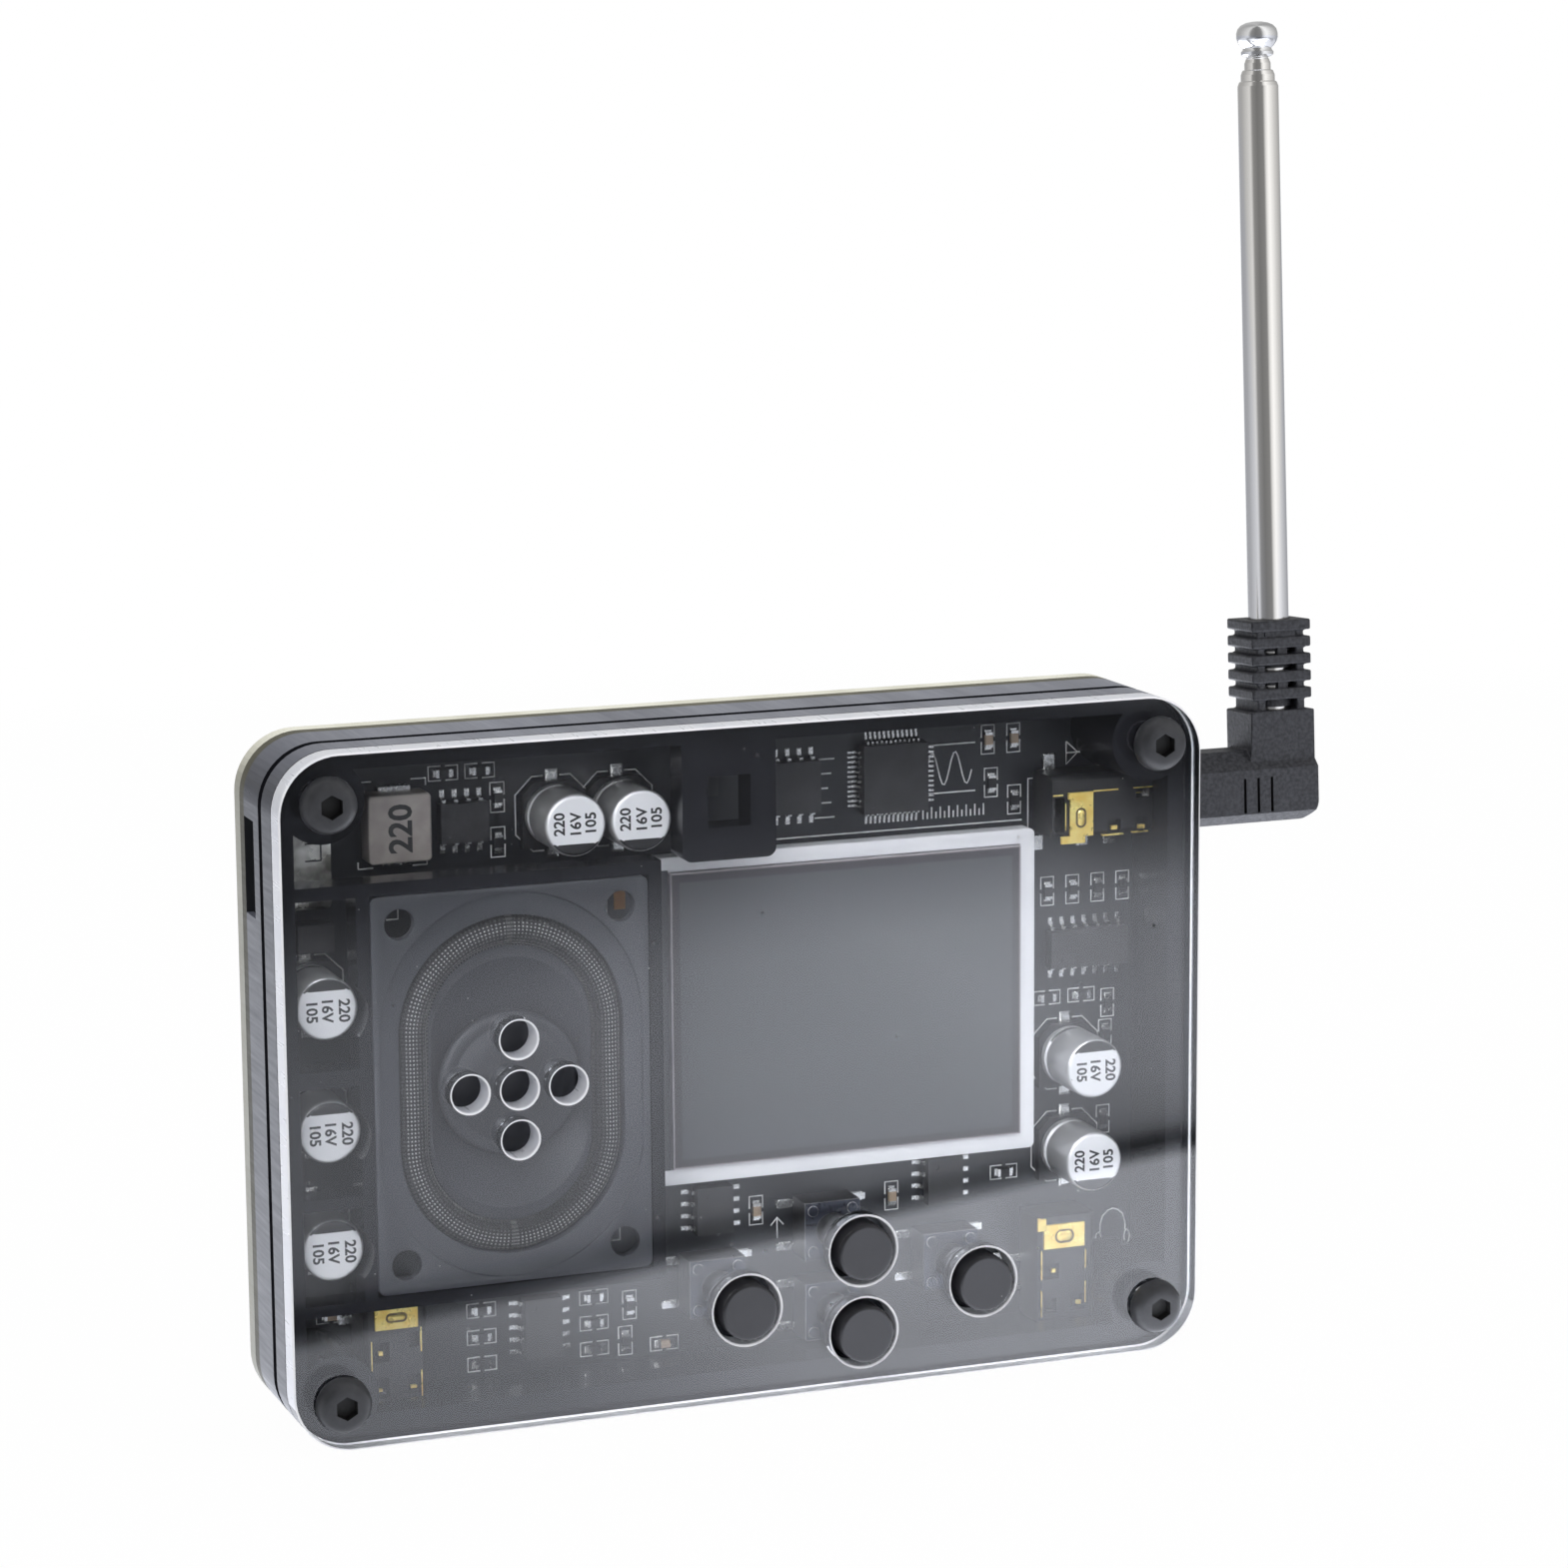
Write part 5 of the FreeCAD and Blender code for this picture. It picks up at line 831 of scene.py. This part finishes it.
cap_plastic = finish("satin_cap", (0.012, 0.012, 0.014), (0.017, 0.017, 0.020), roughness=0.42,
                     spread=0.12, grain=3500, depth=0.15, tone=200, dust=0.2,
                     Specular_IOR_Level=0.32)
base_plastic = finish("moulded_black", (0.016, 0.016, 0.018), (0.024, 0.024, 0.026),
                      roughness=0.45, spread=0.15, grain=2500, depth=0.2, tone=200)
tin = finish("tinned_metal", (0.78, 0.78, 0.77), (0.66, 0.66, 0.64), roughness=0.26, spread=0.25,
             grain=2200, depth=0.5, tone=700, Metallic=1)
cover_steel = finish("cover_steel", (0.035, 0.042, 0.065), (0.055, 0.06, 0.08), roughness=0.3,
                     spread=0.2, grain=1200, depth=0.2, tone=300, Metallic=0.6)
cover_edge = finish("cover_edge", (0.7, 0.7, 0.7), roughness=0.3, grain=1800, Metallic=0.9)
coat(base_plastic, "switch_bases")
covers = rounded_copy("switch_cover_plates", "switch_covers", 0.09 * MM)
wear(covers, cover_steel, cover_edge)
mark_edges(covers, 0.97)
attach(covers, "case")
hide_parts("switch_covers")
coat(tin, "switch_legs")
for key in ("back", "up", "down", "enter"):
    low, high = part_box("button_" + key)
    centre = front_centre(low, high)
    length = (high.y - low.y) / MM
    profile = ([(0, 0.03), (1.8, 0.02), (2.55, 0.0)] + arc(2.62, 0.3, 0.3, -90, 0, 5)
               + [(2.92, length), (0, length)])
    button = spun("cap_" + key, profile, centre, steps=64)
    smooth(button, 35)
    wear(button, cap_plastic)
    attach(button, "key_" + key)
    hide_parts("button_" + key)
    coat(base_plastic, "plunger_" + key)

# -------- jacks
# Black moulded jacks, soldered down by tinned feet. Their springs are stamped and gilt, and
# show at the front as strips with a pressed slot, as thin edges and through small windows.

gilt = finish("gilt_strip", (1.0, 0.84, 0.30), (0.86, 0.60, 0.14), roughness=0.3, spread=0.3,
              grain=900, depth=0.5, tone=500, Metallic=0.5)
# Near black, darker than the moulded plastic round it: painted shade for recesses, windows and
# gaps.
recess_shade_black = finish("recess_shade_black", (0.004, 0.004, 0.005), roughness=0.5, grain=2000)


def carve(piece, cutters):
    """Cut recesses into a piece; the cuts keep the cutters' near black material, painted shade."""
    cutter = merge("cutter", cutters)
    wear(cutter, recess_shade_black)
    piece.data.materials.append(recess_shade_black)
    apply_modifier(piece, "BOOLEAN", object=cutter, solver="EXACT", material_mode="TRANSFER")
    bpy.data.objects.remove(cutter)


slot_dark = finish("slot_shadow", (0.14, 0.10, 0.04), roughness=0.4, grain=1500)
window_depth, spring_proud, wire_proud, slot_proud = 1.2, 0.3, 0.05, 0.31
gilt_parts = []
foot_parts = []


def detail(name, low, row, front, back, bevel=0.0):
    """A small box on a jack, from its (left, bottom, right, top) beside the jack's corner."""
    left, bottom, right, top = row
    return block(name, (low.x + left, front, low.z + bottom), (low.x + right, back, low.z + top),
                 bevel)


JACK_DETAILS = {
    "headphone_jack": {
        "springs": [(0.5, 9.9, 5.1, 12.5), (-0.2, 11.9, 0.75, 13.2), (-0.2, 12.9, 0.1, 13.3)],
        "slots": [(1.7, 10.45, 3.9, 11.95)],
        "windows": [(0.6, 6.6, 2.3, 8.3), (3.6, 3.0, 5.2, 4.7), (0.6, 3.0, 2.0, 4.5)],
        "wires": [(5.25, 7.4, 5.35, 9.4), (5.25, 3.7, 5.35, 6.0), (0.3, 6.6, 0.38, 9.7),
                  (0.3, 2.6, 0.38, 5.4), (1.5, 7.3, 1.9, 7.7), (4.3, 3.6, 4.8, 4.0)],
        "feet": [(-2.6, 7.5, 0.1, 8.3), (-2.6, 4.4, 0.1, 5.1)]},
    "line_jack": {
        "springs": [(1.0, 9.5, 5.4, 11.7)],
        "slots": [(2.1, 10.2, 4.3, 11.2)],
        "windows": [(0.7, 6.2, 2.5, 8.2), (0.8, 2.6, 2.4, 4.5), (4.3, 2.7, 5.6, 4.6),
                    (4.6, 7.4, 5.7, 9.0)],
        "wires": [(0.62, 5.4, 0.72, 8.4), (0.62, 2.0, 0.72, 4.7), (5.68, 6.9, 5.8, 9.4),
                  (5.68, 2.3, 5.8, 5.0), (1.4, 6.9, 1.8, 7.3), (4.6, 3.2, 5.2, 3.5),
                  (1.3, 3.2, 1.7, 3.5)],
        "feet": [(-1.4, 9.0, 0.1, 9.9), (6.3, 2.2, 7.6, 3.0)]},
    "antenna_jack": {
        "springs": [(1.9, 0.1, 4.5, 4.1), (1.7, 4.0, 4.5, 4.7), (0.9, -0.6, 3.6, 0.2)],
        "slots": [(2.5, 1.0, 3.7, 3.1)],
        "windows": [(6.2, 0.0, 7.7, 1.5), (9.3, 0.0, 10.8, 1.6), (0.3, 0.6, 1.4, 4.2),
                    (9.4, 3.6, 10.9, 4.7)],
        "wires": [(4.6, 4.6, 7.4, 4.74), (5.6, -0.1, 8.0, 0.05), (9.0, 0.0, 10.8, 0.12),
                  (9.1, 4.62, 11.3, 4.74), (6.6, 0.5, 7.3, 0.9), (9.7, 0.4, 10.4, 0.8),
                  (1.45, 0.8, 1.55, 3.6), (0.1, 4.4, 1.2, 4.55)],
        "feet": [(1.1, 6.1, 2.4, 8.0), (7.0, 6.1, 8.1, 8.0), (4.8, -1.9, 6.2, 0.1),
                 (7.9, -1.9, 9.3, 0.1), (-0.2, -2.0, 1.1, -0.4)]}}
for jack_name, details in JACK_DETAILS.items():
    low, high = [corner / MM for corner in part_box(jack_name)]
    jack = rounded_copy(jack_name + "_body", jack_name, 0.12 * MM)
    wear(jack, base_plastic)
    # The windows are cut with near black walls: painted shade.
    carve(jack, [detail("window", low, row, low.y - 0.5, low.y + window_depth)
                 for row in details["windows"]])
    smooth(jack)
    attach(jack, "case")
    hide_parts(jack_name)
    gilt_parts += [detail("spring", low, row, low.y - spring_proud, low.y + 0.02, 0.06)
                   for row in details["springs"]]
    for left, bottom, right, top in details["slots"]:
        middle = Vector((low.x + (left + right) / 2, low.y - slot_proud,
                         low.z + (bottom + top) / 2)) * MM
        half_short, half_long = sorted(((right - left) / 2, (top - bottom) / 2))
        for inset, rise, material in ((0.0, 0.02, slot_dark), (0.2, 0.14, gilt)):
            slot = racetrack("slot", middle, (half_short - inset) * MM,
                             (half_long - half_short) * MM, steps=24)
            bpy.ops.mesh.inset(thickness=(half_short - inset) * 0.45 * MM, depth=rise * MM)
            if right - left > top - bottom:
                bpy.ops.mesh.select_all(action="SELECT")
                bpy.ops.transform.rotate(value=math.pi / 2, orient_axis="Y",
                                         center_override=middle)
            close_mesh()
            wear(slot, material)
            smooth(slot, 50)
            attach(slot, "case")
    gilt_parts += [detail("contact_edge", low, row, low.y - wire_proud, low.y + 0.3)
                   for row in details["wires"]]
    foot_parts += [detail("jack_foot", low, row, high.y - 0.35, high.y - 0.05, 0.1)
                   for row in details["feet"]]
gilt_parts = merge("gilt_springs", gilt_parts)
wear(gilt_parts, gilt)
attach(gilt_parts, "case")
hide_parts("jack_contacts")
foot_parts = merge("jack_feet", foot_parts)
wear(foot_parts, tin)
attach(foot_parts, "case")

# -------- charging socket
# A shell of drawn nickelled steel, soldered to the board, that sits back a little in its notch.
# A latch is cut and bent out of its top; its cut is drawn as thin near black strips laid on the
# shell, as painted shade.

shell_steel = finish("nickelled_shell", (0.95, 0.94, 0.88), (0.28, 0.27, 0.24), roughness=0.25,
                     spread=0.3, grain=400, depth=1.0, tone=420, Metallic=0.7)
coat(base_plastic, "usb_tongue")
shell = rounded_copy("socket_shell", "usb_socket", 0.08 * MM)
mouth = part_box("usb_socket")[0].x
for vertex in shell.data.vertices:
    if vertex.co.x < mouth + 0.6 * MM:
        vertex.co.x += 1.1 * MM
wear(shell, shell_steel)
low, high = [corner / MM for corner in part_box("usb_socket")]
# Painted shade: thin near black strips on the shell stand for the latch's cut.
latch_shade_strips = merge("latch_gap_shade", [
    block("gap", (high.x - a, low.y - 0.02, low.z + b), (high.x - c, low.y + 0.1, low.z + d), 0.01)
    for a, b, c, d in ((2.6, 5.0, 1.0, 5.16), (2.6, 6.7, 1.0, 6.86), (1.1, 5.0, 0.94, 6.86))])
wear(latch_shade_strips, recess_shade_black)
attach(latch_shade_strips, "case")
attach(shell, "case")
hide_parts("usb_socket")

# -------- can capacitors
# Drawn aluminium cans, crimped above a black base that is soldered down, and printed on top: a
# dark segment marks the negative side, with the value beside it.

can_metal = finish("can_aluminium", (0.70, 0.70, 0.71), (0.62, 0.62, 0.63), roughness=0.42,
                   spread=0.12, grain=1500, depth=0.1, stretch=(1, 0.1, 1), Metallic=0.7)
# The aluminium tops are painted near white with little metal in them: a painted highlight for the
# bright light falling on them.
can_top_painted_white = finish("can_top_painted_white", (0.88, 0.88, 0.90), (0.80, 0.80, 0.82), roughness=0.42, spread=0.1,
                 grain=1500, depth=0.1, Metallic=0.15)
ink = finish("dark_ink", (0.02, 0.02, 0.022), (0.03, 0.03, 0.032), roughness=0.5, grain=3000)
board_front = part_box("main_board")[0].y
cans = []
prints = []


def lettering(name, text, height, centre, turn):
    """Inked numbers in a plain face, turned and laid on a surface that faces the front."""
    size_for_height, bolder, ink_depth, lift = 1.42, 0.035, 0.006 * MM, 0.004 * MM
    label = start(name, bpy.ops.object.text_add, location=(0, 0, 0))
    label.data.body = text
    label.data.size = height * size_for_height
    label.data.align_x = "CENTER"
    label.data.align_y = "CENTER"
    label.data.extrude = ink_depth
    label.data.offset = height * bolder
    label.data.resolution_u = 3
    bpy.ops.object.convert(target="MESH")
    label = bpy.context.object
    spots = [vertex.co for vertex in label.data.vertices]
    middle = Vector([(min(spot[axis] for spot in spots) + max(spot[axis] for spot in spots)) / 2
                     for axis in (0, 1)] + [0])
    label.data.transform(Matrix.Translation(centre - Vector((0, lift, 0)))
                         @ Matrix.Rotation(math.pi / 2, 4, "X") @ Matrix.Rotation(turn, 4, "Z")
                         @ Matrix.Translation(-middle))
    label.data.name = name
    wear(label, ink)
    return label


can_radius = 3.12
can_profile = ([(0, 0.0), (can_radius - 0.55, 0.0)]
               + arc(can_radius - 0.45, 0.45, 0.45, -90, 0, 6)
               + [(can_radius, 5.2), (can_radius - 0.08, 5.35), (can_radius - 0.26, 5.5),
                  (can_radius - 0.3, 5.62), (can_radius - 0.24, 5.75), (can_radius - 0.06, 5.9),
                  (can_radius, 6.0), (can_radius, 6.6), (can_radius - 0.2, 6.7), (0, 6.7)])
tray_middle = (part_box("display_tray")[0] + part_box("display_tray")[1]) / 2
for low, high in solids_of("capacitor_cans"):
    centre = front_centre(low, high)
    can = spun("can", can_profile, centre, steps=48)
    segment_level = -0.58 * can_radius * MM
    top_right = centre.z > tray_middle.z + 17 * MM
    bottom_right = centre.x > tray_middle.x and centre.z < 24 * MM
    side = 1 if top_right or bottom_right else -1
    open_mesh()
    bpy.ops.mesh.bisect(plane_co=centre + Vector((0, 0, side * segment_level)),
                        plane_no=(0, 0, 1))
    close_mesh()
    wear(can, can_metal, can_top_painted_white, ink)
    for polygon in can.data.polygons:
        flat = polygon.normal.y < -0.75
        dark = (polygon.center.z - centre.z) * side < segment_level
        polygon.material_index = (2 if dark else 1) if flat else 0
    smooth(can, 40)
    cans.append(can)
    turn = side * math.pi / 2
    for step, text in ((-1.72, "220"), (-0.05, "16V"), (1.5, "105")):
        where = centre + Vector((side * step * MM, 0, side * 0.25 * MM))
        prints.append(lettering("can_value", text, 1.08 * MM, where, turn))
cans = merge("can_sleeves", cans)
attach(cans, "case")
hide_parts("capacitor_cans")
coat(base_plastic, "capacitor_bases")
coat(tin, "capacitor_tabs")
prints = merge("can_values", prints)
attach(prints, "case")

# -------- power inductor
# A pressed block of grey-brown iron powder with rubbed pale edges, its value printed on top,
# and tinned ends by which it is soldered down.

inductor_iron = finish("pressed_iron", (0.34, 0.305, 0.285), (0.43, 0.39, 0.365), roughness=0.42,
                       spread=0.2, grain=2600, depth=0.5, tone=500, Metallic=0.35)
rubbed_iron = finish("rubbed_iron", (0.50, 0.48, 0.46), (0.36, 0.34, 0.32), roughness=0.4,
                     grain=1500, depth=0.4, tone=900, Metallic=0.4)
inductor = rounded_copy("iron_inductor", "power_inductor", 0.22 * MM, steps=3)
wear(inductor, inductor_iron, rubbed_iron)
mark_edges(inductor, 0.96)
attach(inductor, "case")
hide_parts("power_inductor")
value = lettering("inductor_value", "220", 2.3 * MM, front_centre(*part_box("power_inductor")),
                  math.pi / 2)
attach(value, "case")
coat(tin, "inductor_ends")

# -------- chips and their solder
# Moulded epoxy chips on stamped, tinned gull-wing leads. Each lead ends in a bright pad of
# solder on the board.

CHIPS = ("regulator_chip", "memory_chip", "mixer_chip", "amplifier_chip", "comparator_chips",
         "processor_chip")
coat(chip_plastic, *CHIPS)
coat(tin, "chip_leads")
chips = [((low + high) / 2, (high - low) / 2) for node_name in CHIPS
         for low, high in solids_of(node_name)]


def pad(x_middle, z_middle, width, height, rise):
    """One solder pad: a flat block on the board with its top edges drawn in."""
    piece = start("pad", bpy.ops.mesh.primitive_cube_add, size=1, location=(
        x_middle, board_front - rise / 2, z_middle), scale=(width, rise, height))
    open_mesh()
    pick(piece, "FACE", lambda face: face.normal.y < -0.9)
    bpy.ops.mesh.inset(thickness=min(width, height) * 0.22, depth=rise * 0.6)
    close_mesh()
    return piece


solder = finish("solder", (0.82, 0.82, 0.80), (0.70, 0.70, 0.68), roughness=0.22, spread=0.25,
                grain=2500, depth=0.5, tone=900, Metallic=1)
pads = []
pad_reach, pad_length, pad_rise = 0.05 * MM, 0.7 * MM, 0.06 * MM


def gap_to(chip, spot):
    """How far a spot lies outside a chip's middle and half size."""
    middle, half = chip
    return max(abs(spot.x - middle.x) - half.x, 0) + max(abs(spot.z - middle.z) - half.z, 0)


for low, high in solids_of("chip_leads"):
    middle = (low + high) / 2
    size = high - low
    chip = min(chips, key=lambda item: gap_to(item, middle))[0]
    if size.x > size.z:
        end = high.x + pad_reach if middle.x > chip.x else low.x - pad_reach
        pads.append(pad(end, middle.z, pad_length, size.z * 1.2, pad_rise))
    else:
        end = high.z + pad_reach if middle.z > chip.z else low.z - pad_reach
        pads.append(pad(middle.x, end, size.x * 1.2, pad_length, pad_rise))

# -------- two-ended chip parts
# Fired ceramic and film parts with tinned ends, soldered to pads inside white brackets, and
# the pads under the cans' tabs and the switches' legs.

resistor_film = finish("resistor_film", (0.018, 0.018, 0.02), roughness=0.35, grain=3000)
ceramic = finish("tan_ceramic", (0.36, 0.27, 0.19), (0.42, 0.33, 0.25), roughness=0.45,
                 grain=3000, depth=0.2)
coat(resistor_film, "chip_resistors")
coat(ceramic, "chip_capacitors")
coat(tin, "chip_part_ends")
part_places = []
end_step, pad_long, pad_short, end_rise = 0.88 * MM, 0.8 * MM, 0.4 * MM, 0.1 * MM
for node_name in ("chip_resistors", "chip_capacitors"):
    for low, high in solids_of(node_name):
        middle = (low + high) / 2
        lying = high.x - low.x > high.z - low.z
        part_places.append((middle, lying))
        for step in (-end_step, end_step):
            if lying:
                pads.append(pad(middle.x + step, middle.z, pad_short, pad_long, end_rise))
            else:
                pads.append(pad(middle.x, middle.z + step, pad_long, pad_short, end_rise))
for node_name, width, height, rise in (("capacitor_tabs", 1.25, 1.5, 0.12),
                                       ("switch_legs", 1.3, 0.95, 0.1)):
    for low, high in solids_of(node_name):
        middle = (low + high) / 2
        pads.append(pad(middle.x, middle.z, width * MM, height * MM, rise * MM))
pads = merge("solder_pads", pads)
wear(pads, solder)
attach(pads, "case")
coat(chip_plastic, "protection_diode", "distance_sensor")

# -------- white print of the board
# Thin white ink, screened on the board: brackets round the small parts, outlines of the cans,
# and plain marks, signs and a wave. All its points are in millimetres.

white_ink = finish("white_ink", (0.80, 0.80, 0.80), (0.66, 0.66, 0.66), roughness=0.6,
                   grain=2500, depth=0.2, tone=900)
ink_lines = []
half_long, half_short, half_gap = 1.5, 0.72, 0.22
for middle, lying in part_places:
    for side in (-1, 1):
        points = [(side * half_gap, half_short), (side * half_long, half_short),
                  (side * half_long, -half_short), (side * half_gap, -half_short)]
        if not lying:
            points = [(px, pz) for pz, px in points]
        ink_lines.append([(middle.x / MM + px, middle.z / MM + pz) for px, pz in points])
for low, high in solids_of("capacitor_bases"):
    middle = (low + high) / 2
    for side in (-1, 1):
        points = [(0.85, 3.75), (2.0, 3.75), (3.75, 2.0), (3.75, -2.0), (2.0, -3.75),
                  (0.85, -3.75)]
        ink_lines.append([(middle.x / MM + side * px, middle.z / MM + pz) for px, pz in points])
middle = sum(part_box("power_inductor"), Vector()) / 2 / MM
for side, end in ((-1, -1), (-1, 1), (1, -1), (1, 1)):
    ink_lines.append([(middle.x + side * px, middle.z + end * pz)
                      for px, pz in ((2.0, 4.3), (3.5, 4.3), (3.5, 3.6))])
ink_lines += [
    [(34.3, 53.6), (34.3, 58.7), (35.8, 58.7)], [(37.4, 58.9), (41.6, 58.9)],
    [(43.1, 58.9), (44.6, 58.9)],
    [(38.6, 62.3), (38.6, 59.9), (39.9, 61.1), (38.6, 62.3)], [(38.6, 61.1), (41.0, 61.1)],
    [(6.3, 12.8), (6.3, 15.0)], [(5.6, 14.2), (6.3, 15.0), (7.0, 14.2)],
    [(-34.4, 49.5), (-33.2, 49.5), (-33.2, 50.9)], [(-12.1, 14.5), (-10.7, 14.5), (-10.7, 16.1)],
    [(1.0, 54.45), (33.6, 54.45)],
    [(42.7, 9.5), (42.7, 10.4), (43.0, 11.25), (43.55, 11.75), (44.15, 11.95), (44.75, 11.75),
     (45.3, 11.25), (45.6, 10.4), (45.6, 9.5)]]
for ear in (42.5, 45.8):
    ink_lines.append([(ear + 0.32 * math.cos(math.radians(45 * turn)),
                       8.75 + 0.78 * math.sin(math.radians(45 * turn))) for turn in range(9)])
wave = [(23.0 + 0.25 * step, 60.4 + 1.7 * math.sin(step * 0.62)) for step in range(21)]
ink_lines += [wave, [(22.8, 62.9), (28.4, 62.9)], [(22.8, 57.9), (28.4, 57.9)]]
for step in range(15):
    ink_lines.append([(22.6 + 0.48 * step, 55.3), (22.6 + 0.48 * step, 56.5 - 0.5 * (step % 2))])
for step, reach in enumerate((1.1, 0.75, 0.4, 0.75, 1.1)):
    ink_lines.append([(11.8 - reach, 62.3 - 1.5 * step), (11.8 + reach, 62.3 - 1.5 * step)])
line_width, line_flatness = 0.17 * MM, 0.35
curve = bpy.data.curves.new("board_print", "CURVE")
curve.dimensions = "3D"
curve.bevel_depth = line_width / 2
curve.bevel_resolution = 0
for line in ink_lines:
    spline = curve.splines.new("POLY")
    spline.points.add(len(line) - 1)
    for point, (px, pz) in zip(spline.points, line):
        point.co = (px * MM, board_front, pz * MM, 1)
strokes = bpy.data.objects.new("board_print", curve)
bpy.context.scene.collection.objects.link(strokes)
choose(strokes)
bpy.ops.object.convert(target="MESH")
strokes = bpy.context.object
for vertex in strokes.data.vertices:
    vertex.co.y = board_front + (vertex.co.y - board_front) * line_flatness
wear(strokes, white_ink)
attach(strokes, "case")

# -------- plug and aerial
# A boot of soft black plastic is moulded over the plug and the foot of the aerial. The aerial
# is made of drawn, nickelled tubes that nest in each other, with a turned tip.

boot_plastic = finish("boot_plastic", (0.008, 0.0085, 0.011), (0.036, 0.037, 0.044),
                      roughness=0.58, spread=0.3, grain=2300, depth=1.0, tone=2800)
pocket_limits = ((59.7, 63.0), (-1.7, -0.9), (54.3, 58.0))
boot = rounded_copy("moulded_boot", "plug_boot", 0)
choose(boot)
open_mesh()
pick(boot, "VERT", lambda vertex: all(low < place / MM < high for place, (low, high)
                                      in zip(vertex.co, pocket_limits)))
bpy.ops.mesh.delete(type="VERT")
bpy.ops.mesh.select_all(action="SELECT")
bpy.ops.mesh.fill_holes(sides=0)
bpy.ops.mesh.select_all(action="SELECT")
bpy.ops.mesh.normals_make_consistent(inside=False)
close_mesh()
apply_modifier(boot, "BEVEL", width=0.2 * MM, segments=3, use_clamp_overlap=False,
               angle_limit=math.radians(50))
wear(boot, boot_plastic)
# The grooves are cut with near black walls: painted shade.
carve(boot, [block("groove", (x, -2.2, 54.3), (x + 0.3, -1.0, 57.9))
             for x in (56.5, 58.05, 59.6)])
smooth(boot, 40)
lean = math.radians(3.9)
foot_x, foot_y, foot_z = 61.6, 2.3, 56.4
foot = Vector((foot_x, foot_y, foot_z)) * MM


def leaned(piece):
    """Lean an upright piece back with the aerial about the plug's axis."""
    choose(piece)
    open_mesh()
    bpy.ops.transform.rotate(value=lean, orient_axis="X", center_override=foot)
    close_mesh()
    return piece


ribs_and_shade_sleeves = []
for half_left, half_right, low, high in ((-0.35, 0.75, 10.2, 11.1), (-0.35, 0.75, 13.8, 14.6),
                                         (-1.75, 1.75, 15.55, 16.4)):
    ribs_and_shade_sleeves.append(leaned(block("bridge", (foot_x + half_left, foot_y - 2.68, foot_z + low),
                                (foot_x + half_right, foot_y - 1.9, foot_z + high))))
# Sleeves of boot plastic fill the slot round the tube between the ribs, leaving thin arcs of
# metal: partly the solid moulding, partly painted shade over metal that lies in shade there.
for low, high in ((8.35, 10.3), (10.6, 12.1), (12.4, 13.9), (14.15, 17.3)):
    ribs_and_shade_sleeves.append(leaned(spun("sleeve", [(2.105, low), (2.3, low), (2.3, high), (2.105, high)],
                               foot, axis="Z", steps=32, closed=True)))
ribs_and_shade_sleeves = merge("boot_ribs_and_shade_sleeves", ribs_and_shade_sleeves)
wear(ribs_and_shade_sleeves, boot_plastic)
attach(ribs_and_shade_sleeves, "aerial_base")
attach(boot, "aerial_base")
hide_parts("plug_boot")
coat(finish("pin_metal", (0.8, 0.8, 0.8), roughness=0.15, grain=1500, depth=0.05, Metallic=1),
     "plug_pin")
tube_nickel = finish("tube_nickel", (0.80, 0.785, 0.76), (0.72, 0.705, 0.68), roughness=0.12,
                     spread=0.1, grain=1800, depth=0.06, tone=120, stretch=(1, 1, 0.03),
                     Metallic=1)
coat(tube_nickel, "antenna_tube", "antenna_section_two", "antenna_section_three")
tip = leaned(spun("aerial_tip", [
    (0, 4.0), (1.1, 4.0), (1.1, 75.35), (1.4, 75.45), (1.66, 75.62), (1.68, 75.9), (1.5, 76.12),
    (1.46, 76.3), (1.72, 76.55), (2.0, 76.95), (2.13, 77.35), (2.13, 77.8), (2.0, 78.25),
    (1.66, 78.62), (1.15, 78.86), (0.55, 78.97), (0, 78.98)], foot, axis="Z", steps=48))
smooth(tip, 40)
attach(tip, "tip")
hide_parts("antenna_tip")
wear(tip, finish("tip_chrome", (0.84, 0.84, 0.84), (0.76, 0.76, 0.76), roughness=0.18,
                           spread=0.08, grain=1200, depth=0.1, Metallic=1))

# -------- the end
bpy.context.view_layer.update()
choose()
